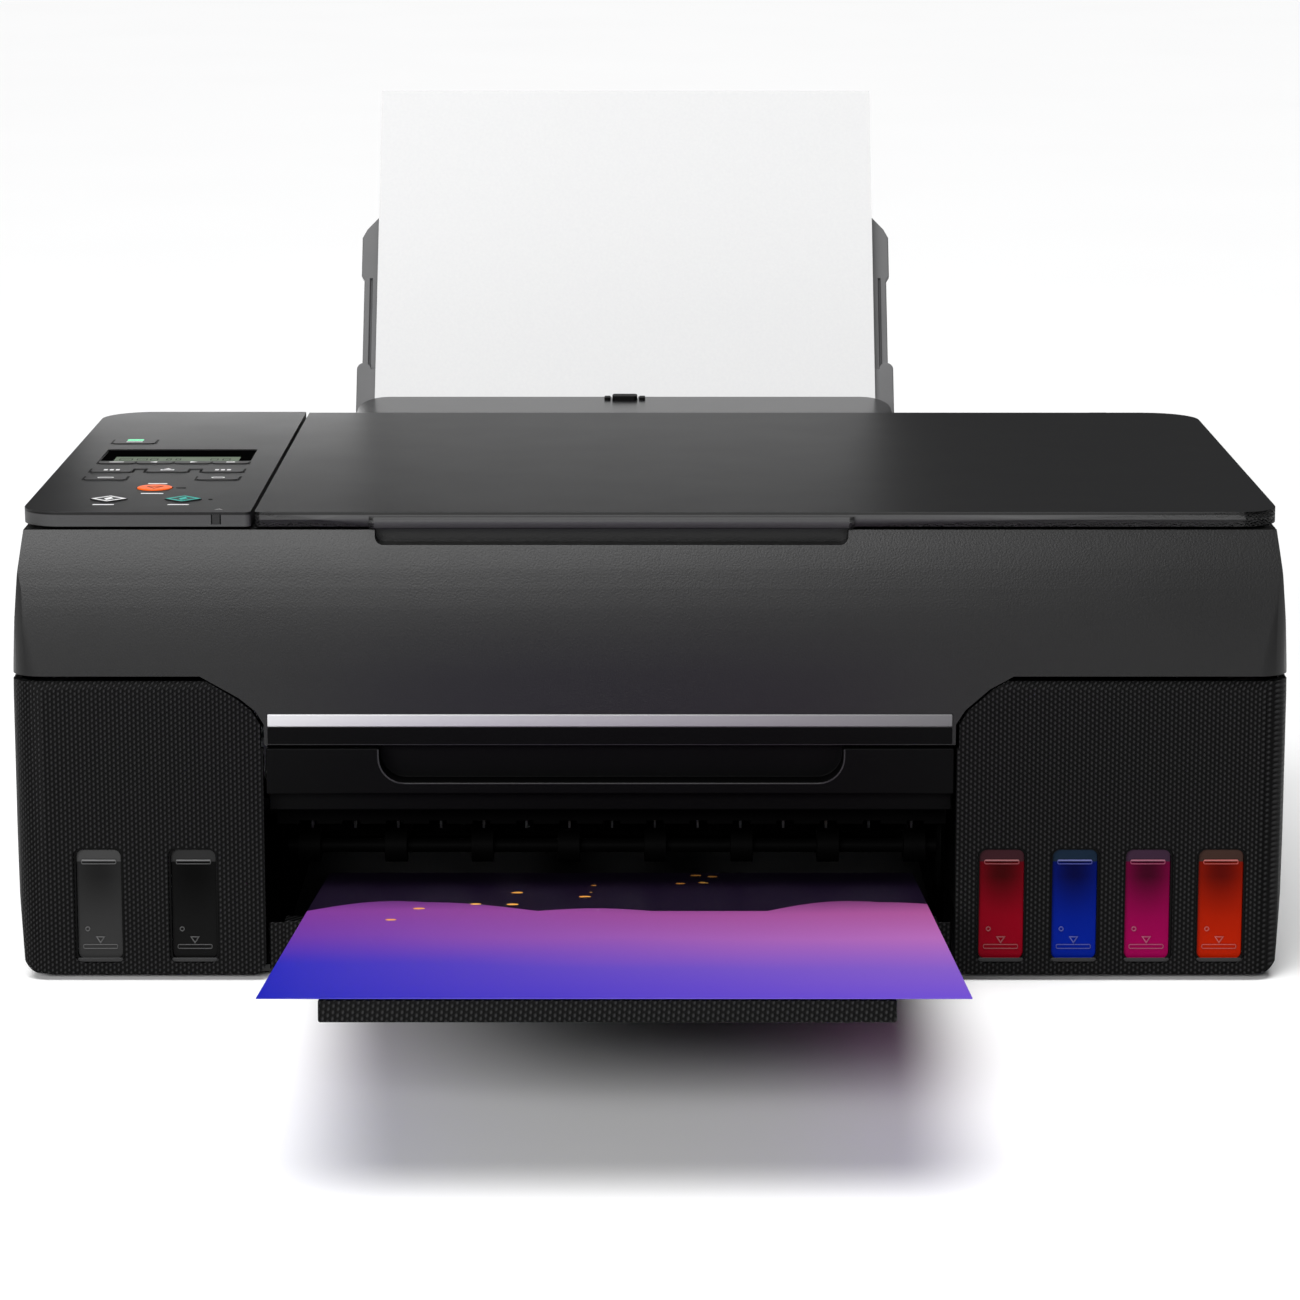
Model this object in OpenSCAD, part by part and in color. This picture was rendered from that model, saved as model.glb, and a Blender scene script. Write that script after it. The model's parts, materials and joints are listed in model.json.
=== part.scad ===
/* [Body] */
// Depth of the scanner unit, front face to back
unit_d = 257.3; // [250:0.1:270]
// Gap behind the scanner unit, which it needs to tip up
unit_gap = 12.7; // [12:0.1:20]
// Depth of the rear housing with the paper feed
rear_d = 70; // [69:1:84]
// Height of the rubber feet
foot_h = 2.5; // [2:0.5:3.5]
// Height of the parting line under the scanner unit
parting_z = 107.5; // [107:0.5:109]
// Height of the scanner unit's top deck
deck_z = 159.8; // [159:0.2:162]
// Wall thickness of the housings
wall = 2.5; // [2:0.1:3]
// Gap between the lower housing and the scanner unit
parting_gap = 1.6; // [1:0.1:2]
// Plan radius of the front corners
front_r = 11; // [9:0.5:12]
// Plan radius of the rear corners
rear_r = 18; // [14:1:22]

/* [Front] */
// Width of the left ink tank bay
left_pod_w = 88.2; // [86:0.2:98]
// Width of the output bay between the tank bays
bay_w = 240.7; // [230:0.1:260]
// Width of the right ink tank bay
right_pod_w = 116.1; // [114:0.1:126]
// Height of the front fascia's top edge
fascia_top = 21.6; // [20:0.2:22.4]
// Height of the grip panel's bottom edge
grip_bottom = 67.3; // [65:0.1:69]
// Height of the grip panel's top edge
grip_top = 84.8; // [83.8:0.1:86]
// Width of an ink window's recess
window_w = 17.4; // [15:0.2:18]
// Bottom of the ink windows
window_bottom = 6.4; // [6:0.2:9]
// Top of the ink windows
window_top = 47.9; // [44:0.1:52]
// Distance between the left ink windows
left_window_pitch = 33.2; // [31:0.2:34]
// Distance between the right ink windows
right_window_pitch = 25.6; // [25:0.1:26.2]
// Height of the bright strip
strip_h = 4.6; // [3:0.2:5]

/* [Lid and panel] */
// Thickness of the document lid and the control panel
slab_h = 5.2; // [5:0.1:6]
// Width of the control panel
panel_w = 79.8; // [78:0.2:82]
// Width of the lid's finger lip
lip_w = 167.8; // [140:0.2:180]
// Travel of a panel key
key_travel = 0.8; // [0.5:0.1:1]
// Width of the scanner glass
glass_w = 305; // [300:1:310]
// Depth of the scanner glass
glass_d = 222; // [218:1:224]

/* [Paper] */
// Width of a paper sheet
sheet_w = 210; // [206:1:211]
// Length of a paper sheet
sheet_l = 297; // [290:1:300]
// Thickness of the loaded paper stack
stack_t = 2; // [0.5:0.1:2.2]
// Backward lean of the loaded paper, in degrees
paper_tilt = 31; // [30:0.5:31]
// Upward slope of the output tray, in degrees
tray_slope = 6.84; // [6.4:0.02:7]
// Width of the output tray's outer stage
tray_w = 170; // [160:1:174]
// Length that each stage of the output tray slides
tray_travel = 122; // [100:1:124]

/* [Hidden] */
$fn = 48;

// colours of the pieces
black_shell = [0.06, 0.06, 0.065];
black_texture = [0.09, 0.09, 0.095];
dark_part = [0.03, 0.03, 0.03];
grey_part = [0.4, 0.41, 0.42];
steel = [0.6, 0.61, 0.63];
bright_strip = [0.75, 0.75, 0.76];
paper_white = [0.93, 0.93, 0.93];
rubber_black = [0.05, 0.05, 0.05];
board_green = [0.05, 0.3, 0.14];
key_grey = [0.15, 0.15, 0.16];
tank_clear = [0.75, 0.75, 0.78, 0.5];
glass_grey = [0.5, 0.55, 0.56, 0.4];
stop_orange = [0.85, 0.35, 0.08];
start_teal = [0.1, 0.55, 0.55];
key_white = [0.85, 0.85, 0.85];
print_violet = [0.35, 0.3, 0.65];

// overall size of the body
body_w = left_pod_w + bay_w + right_pod_w;
body_d = unit_d + unit_gap + rear_d;

// main planes
front = -body_d / 2;
rear = body_d / 2;
side = body_w / 2;
floor_top = foot_h + wall;
unit_bottom = parting_z + parting_gap;
slab_bottom = deck_z + 1.1;
slab_top = slab_bottom + slab_h;
joint_gap = 0.4;
run = 0.05;
cut = 1;

// the output bay between the two tank bays
bay_left = -side + left_pod_w;
bay_right = side - right_pod_w;
bay_mid = (bay_left + bay_right) / 2;
bezel_t = 3;
bezel_wrap = 12;
bezel_edge = 0.5;
bezel_top = parting_z - 0.3;
bezel_bevel = 3;
bezel_slant = 1.4;
window_r = 3;
left_window_x = -side + 29.3;
right_window_x = side - 22.4;
window_depth = 1.2;
window_rim = 0.8;

// the scanner unit
unit_back = front + unit_d;
unit_rear_r = 22;
apron_d = 12;
apron_gap = 1.3;
strip_bottom = grip_top + 6.4;
strip_in = 1;
strip_d = 0.8;
slab_front = front + 5;
slab_front_r = 14;
slab_inner_r = 2;
slab_rear_r = 20;
front_lean = 5.7;
bow_z = unit_bottom + wall;
bow_r = (pow(deck_z - bow_z, 2) + pow(front_lean, 2)) / (2 * front_lean);
panel_side = side - 4.5;
panel_right = -panel_side + panel_w;
lid_left = panel_right + 1.4;
lid_axis_y = unit_back - slab_h / 2;
lid_axis_z = slab_bottom + slab_h / 2;
lid_ear_x = [lid_left + 36.8, panel_side - 38];
lid_ear_w = 6;
lid_pin_r = 1;
glass_t = 3;
glass_x = (lid_left + panel_side) / 2;
glass_y = front + unit_d / 2 + 0.35;
lip_x = bay_mid + 0.65;
lip_out = 3;
pocket_d = 12;
pocket_h = 5.2;

// the scanner unit's hinge
hinge_y = unit_back - 11.3;
hinge_z = deck_z - 14.6;
hinge_pin_r = 3;
hinge_post_x = side - 21.5;
hinge_post_w = 8;
hinge_ear_w = 4;
hinge_ear_r = 7;
scan_rail_top = unit_bottom + wall + 26;

// the ink tanks
tank_front = front + bezel_t + joint_gap;
tank_d = 62;
tank_bottom = floor_top + 1;
tank_top = 84;
left_tank_w = 30;
right_tank_w = 23;
tank_wall = 1.5;
tank_r = 2;
neck_r = 6;
neck_h = 8;
neck_y = tank_front + 24;
cap_r = 7.5;
cap_h = 9;

// the loaded paper: its frame has the origin where it leaves the body, z up the sheet, y behind it
paper_x = bay_mid + 3.45;
paper_y = rear - 7;
paper_z = deck_z + 0.2;
paper_out = 145.4;
support_y = stack_t + 0.6;
support_t = 3;
support_half_w = sheet_w / 2 + 8;
support_low = -62;
support_high = 16;
stage_gap = 0.5;
rear_top = deck_z - 8;
rear_front = unit_back + unit_gap;
slot_half_w = support_half_w + 4;
slot_left = paper_x - slot_half_w;
slot_right = paper_x + slot_half_w;
slot_back_z = deck_z - 28;
flap_axis_y = rear_front + 3.5;
flap_axis_z = deck_z + 0.4;
flap_r = 1.6;
flap_t = 2.4;
flap_free_y = rear - 12.3;
flap_rise = 1.3;
flap_half_w = slot_half_w - 7.5;
flap_pin_r = 1;
chute_y = support_y + 2 * support_t + 2 * stage_gap;
chute_t = 2.5;
chute_low = -150;
chute_high = -14;
cheek_t = 2.5;
pickup_r = 12;
pickup_y = -pickup_r - 0.3;
pickup_z = -138;
guide_bar_y = -12;
guide_bar_z = -44;
guide_bar_s = 2.5;
guide_t = 2.5;
guide_gap = 0.6;

// the paper path in the base, measured from the front face
eject_y = front + 58;
eject_z = 35;
eject_r = 6;
star_r = 4.6;
star_z = eject_z + eject_r + star_r + 0.4;
shaft_r = 2.5;
star_pin_r = 1;
feed_y = front + 158;
feed_z = 31;
feed_r = 7.5;
platen_z = 38;
platen_y0 = front + 72;
platen_y1 = front + 140;
path_left = bay_left + 3;
path_right = bay_right - 2.6;
star_bar_y = front + 35;

// the carriage and what carries it
frame_y = front + 143;
frame_t = 2;
frame_side = side - 12.5;
rod_y = front + 118;
rod_z = 66;
rod_r = 4;
belt_z = 82;
belt_r = 6;
belt_t = 1;
belt_w = 5;
belt_y = front + 136;
pulley_x = side - 36.5;
carriage_x = bay_right + 38.6;
carriage_w = 70;
motor_shaft_r = 1.5;
motor_shaft_l = 12;

// the door in the rear wall and the sockets: middle, height, width and height of each socket
door_x = -5;
door_w = 110;
door_pin_z = 9.2;
door_pin_r = 0.9;
door_top = 48;
rear_socket_places = [[side - 60, 30, 28, 20], [-side + 50, 40, 14, 13]];

// the output tray: its frame has the origin at the sheet's rear edge, y towards the rear
tray_x = bay_mid + 1.45;
sheet_y = front + 45;
sheet_z = 27.5;
sheet_t = 0.3;
tray_gap = 0.4;
tray_t = 2.2;
tray_lip_h = 6.8;
tray_front = sheet_l - 1.5;
tray_rear = 15;
tray_lap = 20;

// the keys: middle of each one and its size on the panel
key_gap = 0.3;
key_h = 2.4;
key_proud = 0.3;
key_r = 1.2;
panel_edge = -panel_side;
power_key_at = [panel_edge + 20.6, front + 173.2];
power_key_s = [16, 11];
menu_key_x = [for (i = [0:3]) panel_edge + 20 + 14.1 * i];
menu_key_y = front + 119.4;
menu_key_s = [13.2, 5.6];
arrow_key_x = [for (i = [0:2]) panel_edge + 20.5 + 20.4 * i];
arrow_key_y = front + 100;
arrow_key_s = [15, 9];
back_key_y = front + 81.6;
stop_key_at = [panel_edge + 40.8, front + 59.2];
stop_key_r = 6.3;
stop_key_s = [2 * stop_key_r, 2 * stop_key_r];
stop_corner_r = stop_key_r - 0.01;
start_key_x = [panel_edge + 27.5, panel_edge + 53.7];
start_key_y = front + 33;
start_key_s = 10.4;
start_key_r = 2.5;
lcd_at = [panel_edge + 41, front + 139];
lcd_s = [56.6, 30];
lcd_depth = 0.5;

// a box given by its two corners
module block(low, high) {
    translate(low) cube(high - low);
}

// a flat rounded rectangle about the origin
module round_rect(w, d, r) {
    square([w - 2 * r, d], center = true);
    square([w, d - 2 * r], center = true);
    for (x = [-1, 1], y = [-1, 1])
        translate([x * (w / 2 - r), y * (d / 2 - r)]) circle(r);
}

// a rounded plate standing on z0
module round_plate(size, r) {
    linear_extrude(size[2]) round_rect(size[0], size[1], r);
}

// a cylinder along X from x0 to x1
module rod(x0, x1, r) {
    translate([x0, 0, 0]) rotate([0, 90, 0]) cylinder(r = r, h = x1 - x0);
}

// a flat outline in X and Z, made solid from y0 to y1
module along_y(y0, y1) {
    translate([0, y1, 0]) rotate([90, 0, 0]) linear_extrude(y1 - y0) children();
}

// the plan of the body, with its own radii at the front and the rear
module body_plan(inset, back, back_r) {
    half = side - inset;
    near = front + inset;
    far = back - inset;
    fr = max(front_r - inset, 1);
    br = max(back_r - inset, 1);
    translate([-half, near + fr]) square([2 * half, far - near - fr - br]);
    translate([-half + fr, near]) square([2 * (half - fr), 2 * fr]);
    translate([-half + br, far - 2 * br]) square([2 * (half - br), 2 * br]);
    for (x = [-1, 1]) {
        translate([x * (half - fr), near + fr]) circle(fr);
        translate([x * (half - br), far - br]) circle(br);
    }
}

// the front view of the body: sides that lean in towards the floor and the deck
module body_front(inset) {
    half = side - inset;
    // how far each side stands in, and at what height
    line = [[2.7, 0], [0.7, 30], [0, 62], [0, 96], [0.6, 112], [1.6, 128], [3.2, 144], [5.7, deck_z + cut]];
    last = len(line) - 1;
    polygon(concat(
        [for (point = line) [-half + point[0], point[1]]],
        [for (i = [last:-1:0]) [half - line[i][0], line[i][1]]]
    ));
}

// the body's outer shape, inset by some distance, between two heights
module body_shape(inset, z0, z1, back, back_r) {
    intersection() {
        translate([0, 0, z0]) linear_extrude(z1 - z0) body_plan(inset, back, back_r);
        along_y(front - cut, back + cut) body_front(inset);
    }
}

// the rounded bottom edge of the body, seen from the front
module bottom_edge() {
    edge_r = 7;
    edge_in = 1.5;
    along_y(front - cut, rear + cut) {
        translate([0, deck_z / 2 + foot_h]) round_rect(body_w - 2 * edge_in, deck_z, edge_r);
        translate([-side, foot_h + 2 * edge_r]) square([body_w, deck_z]);
    }
}

// front view of the scanner unit's apron, grown sideways by a gap
module apron_outline(gap) {
    low = grip_top - cut * gap;
    high = unit_bottom + 0.5;
    // how far each side flares out beyond the bay, and at what height
    left = [[0, grip_top + 7.2], [2.9, grip_top + 12], [8.7, grip_top + 16.7], [22.9, high]];
    right = [[20.8, high], [11.6, grip_top + 19.7], [3.1, grip_top + 12.2], [0, grip_top + 7.2]];
    polygon(concat(
        [[bay_left - gap, low]],
        [for (point = left) [bay_left - point[0] - gap, point[1]]],
        [for (point = right) [bay_right + point[0] + gap, point[1]]],
        [[bay_right + gap, low]]
    ));
}

// places children in the loaded paper's leaning frame
module on_paper() {
    translate([0, paper_y, paper_z]) rotate([-paper_tilt, 0, 0]) children();
}

// places children in the output tray's sloping frame
module on_tray() {
    translate([0, sheet_y, sheet_z]) rotate([-tray_slope, 0, 0]) children();
}

// middle of ink window i on either side
function left_window(i) = left_window_x + i * left_window_pitch;
function right_window(i) = right_window_x - i * right_window_pitch;

module lower_housing() {
    post_h = 6;
    seat_in = 30;
    seat_r = 2;
    door_gap = 0.3;
    socket_gap = 0.2;
    color(black_shell) difference() {
        intersection() {
            body_shape(0, foot_h, parting_z, rear, rear_r);
            bottom_edge();
        }
        body_shape(wall, floor_top, parting_z + cut, rear, rear_r);
        // the whole front, which the fascia, the grip panel and the bezels fill
        block([-side - cut, front - cut, 0], [side + cut, front + bezel_t + joint_gap / 2, parting_z + cut]);
        block([-side - cut, front, floor_top], [side + cut, front + bezel_wrap, parting_z + cut]);
        difference() {
            block([-side - cut, front, 0], [side + cut, front + bezel_wrap, floor_top + cut]);
            body_shape(bezel_t + joint_gap, 0, floor_top + 2 * cut, rear, rear_r);
        }
        along_y(front - cut, front + apron_d + cut) apron_outline(apron_gap);
        maintenance_door(door_gap, -cut);
        for (s = rear_socket_places) rear_socket_hole(s, socket_gap);
        // screw heads' seats under the floor
        for (x = [-1, 1], y = [-1, 1])
            translate([x * (side - seat_in), y * (rear - seat_in), 0])
                cylinder(r = seat_r, h = post_h + foot_h);
    }
}

module rubber_feet() {
    foot_r = 9;
    foot_in = 34;
    foot_back = 50;
    mid_r = 7;
    color(rubber_black) {
        for (x = [-1, 1], y = [-1, 1])
            translate([x * (side - foot_in), y * (rear - foot_back), 0]) cylinder(r = foot_r, h = foot_h);
        cylinder(r = mid_r, h = foot_h);
    }
}

// the textured band across the base, cut out under the tray
module front_fascia() {
    fascia_left = bay_left + 6;
    fascia_right = bay_right - 5.5;
    shelf_t = 2;
    shelf_d = 8;
    end_back = 2;
    end_top = fascia_top - 1;
    color(black_texture) difference() {
        union() {
            block([fascia_left, front, foot_h + cut], [fascia_right, front + bezel_t, fascia_top]);
            block([fascia_left, front, fascia_top - shelf_t], [fascia_right, front + shelf_d, fascia_top]);
            block([bay_left + bezel_edge, front + end_back, foot_h + cut],
                  [bay_right - bezel_edge, front + bezel_t, end_top]);
        }
        translate([0, front, foot_h]) rotate([45, 0, 0]) cube([body_w, cut, cut], center = true);
    }
}

// the fixed panel under the apron, with the finger scoop
module grip_panel() {
    scoop_x = -13.5;
    scoop_w = 162;
    scoop_h = 13.5;
    scoop_d = 9;
    scoop_r = 9;
    panel_d = 12;
    panel_t = 2;
    back_z = grip_bottom - 8;
    bar_gap = 0.2;
    x0 = bay_left + bezel_edge;
    x1 = bay_right - bezel_edge;
    color(black_shell) difference() {
        union() {
            block([x0, front, grip_bottom], [x1, front + panel_d, grip_top - apron_gap]);
            block([x0, front + panel_d - panel_t, back_z], [x1, star_bar_y - bar_gap, grip_bottom + panel_t]);
        }
        along_y(front - cut, front + scoop_d)
            translate([scoop_x, grip_top]) round_rect(scoop_w, 2 * scoop_h, scoop_r);
    }
}

// the front face of one tank bay
module tank_bezel(x0, x1, outer, windows) {
    wrap_y = front + bezel_wrap - joint_gap / 2;
    difference() {
        intersection() {
            body_shape(0, foot_h, bezel_top, rear, rear_r);
            bottom_edge();
            block([x0, front - cut, 0], [x1, wrap_y, bezel_top]);
            pod_corner(outer > 0 ? x0 : x1, outer);
        }
        body_shape(bezel_t, foot_h - cut, bezel_top + cut, rear, rear_r);
        along_y(front - cut, front + bezel_t + cut) apron_outline(apron_gap);
        bevel_cut(x0, x1);
        for (x = windows) {
            window_cut(x, 0, -cut, window_depth);
            window_cut(x, window_rim, 0, bezel_t + cut);
        }
    }
}

// one rounded window, from y0 to y1 behind the front face, inset by a rim
module window_cut(x, rim, y0, y1) {
    along_y(front + y0, front + y1)
        translate([x, (window_bottom + window_top) / 2])
            round_rect(window_w - 2 * rim, window_top - window_bottom - 2 * rim, window_r - rim / 3);
}

// what the bevel takes off the top of a bezel's front
module bevel_cut(x0, x1) {
    z = bezel_top - bezel_bevel;
    translate([x0 - cut, 0, 0]) rotate([90, 0, 90]) linear_extrude(x1 - x0 + 2 * cut)
        polygon([
            [front - cut, z], [front, z], [front + bezel_slant, bezel_top],
            [front + bezel_slant, bezel_top + cut], [front - cut, bezel_top + cut]
        ]);
}

// the bay side of a bezel, with a rounded bottom corner
module pod_corner(edge, outer) {
    corner = 5;
    reach = outer * (side + 2 * cut);
    along_y(front - cut, front + bezel_wrap + cut) difference() {
        translate([min(edge, reach), 0]) square([abs(reach - edge), deck_z]);
        difference() {
            translate([edge - corner, foot_h - cut]) square([2 * corner, corner + cut]);
            translate([edge + outer * corner, foot_h + corner]) circle(corner);
            translate([min(edge + outer * corner, edge + outer * 4 * corner), foot_h - cut])
                square([3 * corner, corner + cut]);
        }
    }
}

module left_tank_bezel() {
    color(black_texture)
        tank_bezel(-side - cut, bay_left - bezel_edge, -1, [left_window(0), left_window(1)]);
}

module right_tank_bezel() {
    color(black_texture)
        tank_bezel(bay_right + bezel_edge, side + cut, 1, [for (i = [0:3]) right_window(i)]);
}

// one ink tank: a hollow clear box with a filling neck
module ink_tank(x, w) {
    difference() {
        union() {
            translate([x, tank_front + tank_d / 2, tank_bottom])
                round_plate([w, tank_d, tank_top - tank_bottom], tank_r);
            translate([x, neck_y, tank_top]) cylinder(r = neck_r, h = neck_h);
        }
        block([x - w / 2 + tank_wall, tank_front + tank_wall, tank_bottom + tank_wall],
              [x + w / 2 - tank_wall, tank_front + tank_d - tank_wall, tank_top - tank_wall]);
        translate([x, neck_y, tank_top - 2 * tank_wall])
            cylinder(r = neck_r - tank_wall, h = neck_h + 2 * tank_wall + cut);
    }
}

module left_ink_tanks() {
    color(tank_clear) for (i = [0:1]) ink_tank(left_window(i), left_tank_w);
}

module right_ink_tanks() {
    color(tank_clear) for (i = [0:3]) ink_tank(right_window(i), right_tank_w);
}

// one cap pushed over a filling neck
module tank_cap(x) {
    lift = 0.2;
    translate([x, neck_y, tank_top + lift]) difference() {
        cylinder(r = cap_r, h = cap_h);
        translate([0, 0, -cut]) cylinder(r = neck_r + run, h = neck_h - lift + cut);
    }
}

module tank_caps() {
    color(dark_part) {
        for (i = [0:1]) tank_cap(left_window(i));
        for (i = [0:3]) tank_cap(right_window(i));
    }
}

// the flat covers over the tanks, under the scanner unit
module tank_covers() {
    cover_t = 2;
    cover_z = parting_z - 8;
    cover_y0 = front + apron_d + 4;
    cover_y1 = front + 74;
    outer = side - wall - 0.5;
    bay_edge = 1;
    color(black_shell) {
        block([-outer, cover_y0, cover_z], [bay_left - bay_edge, cover_y1, cover_z + cover_t]);
        block([bay_right + bay_edge, cover_y0, cover_z], [outer, cover_y1, cover_z + cover_t]);
    }
}

// the steel cross frame, its side plates and the carriage's guide rod
module printer_frame() {
    frame_top = 97;
    frame_low = 42;
    flange = 18;
    plate_y0 = front + 100;
    pulley_hole = motor_shaft_r + 1;
    color(steel) {
        difference() {
            union() {
                block([-frame_side, frame_y, frame_low], [frame_side, frame_y + frame_t, frame_top]);
                block([-frame_side, frame_y - flange, frame_top - frame_t],
                      [frame_side, frame_y + frame_t, frame_top]);
                for (x = [-frame_side, frame_side - frame_t])
                    block([x, plate_y0, floor_top], [x + frame_t, frame_y + frame_t, frame_top]);
            }
            for (x = [-1, 1])
                translate([x * pulley_x, frame_y - cut, belt_z]) rotate([-90, 0, 0])
                    cylinder(r = pulley_hole, h = frame_t + 2 * cut);
        }
        translate([0, rod_y, rod_z]) rod(-frame_side + frame_t / 2, frame_side - frame_t / 2, rod_r);
    }
}

// the motor behind the frame; its shaft carries the drive pulley
module carriage_motor() {
    motor_r = 13;
    motor_l = 26;
    color(steel) translate([pulley_x, frame_y + frame_t, belt_z]) rotate([-90, 0, 0]) {
        cylinder(r = motor_r, h = motor_l);
        translate([0, 0, -frame_t - motor_shaft_l])
            cylinder(r = motor_shaft_r, h = frame_t + motor_shaft_l + cut / 2);
    }
}

// a belt round both pulleys
module carriage_belt() {
    half = pulley_x;
    color(rubber_black) along_y(belt_y, belt_y + belt_w) difference() {
        belt_outline(half, belt_r + belt_t);
        belt_outline(half, belt_r);
    }
}

module belt_outline(half, r) {
    translate([-half, belt_z - r]) square([2 * half, 2 * r]);
    for (x = [-half, half]) translate([x, belt_z]) circle(r);
}

// one belt pulley, on a bore that turns on its shaft
module belt_pulley(x) {
    over = 0.8;
    belt_gap = 0.3;
    notch_w = 1.2;
    notch_in = 1.6;
    notch_h = 0.4;
    translate([x, belt_y - over, belt_z]) rotate([-90, 0, 0]) difference() {
        cylinder(r = belt_r - belt_gap, h = belt_w + 2 * over);
        translate([0, 0, -cut]) cylinder(r = motor_shaft_r + run, h = belt_w + 4 * cut);
        // a notch in the rim that shows how far it has turned
        translate([belt_r - notch_in, -notch_w / 2, -cut]) cube([2 * notch_in, notch_w, notch_h + cut]);
    }
}

module drive_pulley() {
    color(grey_part) belt_pulley(pulley_x);
}

module idler_pulley() {
    color(grey_part) belt_pulley(-pulley_x);
}

// the motor that drives the paper rollers
module paper_motor() {
    motor_r = 14;
    motor_l = 30;
    motor_x = bay_left - 36;
    motor_back = 30;
    motor_rise = 6;
    shaft_l = 5;
    bracket_lap = 4;
    color(steel) translate([0, feed_y + motor_back, feed_z + motor_rise]) {
        rod(motor_x, motor_x + motor_l, motor_r);
        rod(motor_x + motor_l - cut, motor_x + motor_l + shaft_l, motor_shaft_r);
        block([motor_x, -motor_r, -feed_z - motor_rise + floor_top],
              [motor_x + frame_t, motor_r, -motor_r + bracket_lap]);
    }
}

// the ribbed bridge under the print head, and the cheeks that hold the roller shafts
module platen() {
    rib_w = 1.5;
    rib_h = 1.2;
    ribs = 12;
    rib_edge = 8;
    rib_root = 0.5;
    rib_pitch = (path_right - path_left - 2 * rib_edge - rib_w) / ribs;
    bridge_t = 3;
    ear_top = star_z + shaft_r + 1.5;
    ear_y0 = eject_y - 8;
    ear_y1 = eject_y + 9;
    cheek_y1 = feed_y + 12;
    bore_x0 = path_left - cheek_t - cut;
    bore_x1 = path_right + cheek_t + cut;
    color(dark_part) difference() {
        union() {
            block([path_left, platen_y0, platen_z - rib_h - bridge_t],
                  [path_right, platen_y1, platen_z - rib_h]);
            for (i = [0:ribs]) {
                x = path_left + rib_edge + i * rib_pitch;
                block([x, platen_y0 + cut, platen_z - rib_h - rib_root],
                      [x + rib_w, platen_y1 - cut, platen_z]);
            }
            for (x = [path_left - cheek_t, path_right]) {
                block([x, ear_y0, floor_top], [x + cheek_t, cheek_y1, platen_z]);
                block([x, ear_y0, platen_z - cut], [x + cheek_t, ear_y1, ear_top]);
            }
        }
        translate([0, eject_y, eject_z]) rod(bore_x0, bore_x1, shaft_r + run);
        translate([0, feed_y, feed_z]) rod(bore_x0, bore_x1, shaft_r + run);
        translate([0, eject_y, star_z]) rod(bore_x0, bore_x1, star_pin_r + run);
    }
}

// the dark bar across the bay that covers the star wheels
module star_wheel_bar() {
    skirt_t = 2;
    bar_top = grip_bottom - 8.2;
    bar_low = star_z + star_r + 1.2;
    skirt_low = 48.3;
    bar_d = 34;
    bar_over = 2;
    slots = 15;
    slot_w = 6;
    slot_h = 1.2;
    slot_edge = 6;
    slot_pitch = (path_right - path_left - 2 * slot_edge - slot_w) / (slots - 1);
    x0 = path_left - bar_over;
    x1 = path_right + bar_over;
    color(dark_part) difference() {
        union() {
            block([x0, star_bar_y, skirt_low], [x1, star_bar_y + skirt_t, bar_top]);
            block([x0, star_bar_y, bar_low], [x1, star_bar_y + bar_d, bar_top]);
        }
        for (i = [0:slots - 1]) {
            x = path_left + slot_edge + i * slot_pitch;
            block([x, star_bar_y - cut, skirt_low - cut],
                  [x + slot_w, star_bar_y + skirt_t + cut, skirt_low + slot_h]);
        }
    }
}

// a row of rubber tyres on one shaft
module tyre_shaft(x0, x1, r, tyres, w, over) {
    edge = 4;
    pitch = (x1 - x0 - w - 2 * edge) / (tyres - 1);
    rod(x0 - over, x1 + over, shaft_r);
    for (i = [0:tyres - 1]) translate([x0 + edge + i * pitch, 0, 0]) rod(0, w, r);
}

module feed_roller() {
    tyres = 3;
    tyre_w = 64;
    gear_r = 14;
    gear_w = 4;
    gear_gap = 1;
    hub_r = shaft_r + 2;
    hub_w = 2;
    gear_x = path_left - cheek_t - gear_gap - gear_w;
    color(grey_part) translate([0, feed_y, feed_z]) {
        tyre_shaft(path_left, path_right, feed_r, tyres, tyre_w, cheek_t + gear_gap + gear_w);
        rod(gear_x, gear_x + gear_w, gear_r);
        rod(gear_x - hub_w, gear_x, hub_r);
    }
}

module eject_roller() {
    tyres = 8;
    tyre_w = 8;
    end_gap = 0.2;
    color(grey_part) translate([0, eject_y, eject_z])
        tyre_shaft(path_left, path_right, eject_r, tyres, tyre_w, cheek_t - end_gap);
}

// toothed wheels on one thin shaft above the eject roller
module star_wheels() {
    wheels = 15;
    teeth = 12;
    tooth_h = 1.4;
    wheel_t = 0.8;
    edge = 9;
    end_gap = 0.2;
    pitch = (path_right - path_left - 2 * edge) / (wheels - 1);
    toothed = [for (k = [0:2 * teeth - 1])
        let (a = k * 180 / teeth, r = k % 2 == 0 ? star_r : star_r - tooth_h) [r * cos(a), r * sin(a)]];
    color(steel) translate([0, eject_y, star_z]) {
        rod(path_left - cheek_t + end_gap, path_right + cheek_t - end_gap, star_pin_r);
        for (i = [0:wheels - 1])
            translate([path_left + edge - wheel_t / 2 + i * pitch, 0, 0]) rotate([0, 90, 0])
                linear_extrude(wheel_t) polygon(toothed);
    }
}

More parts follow.
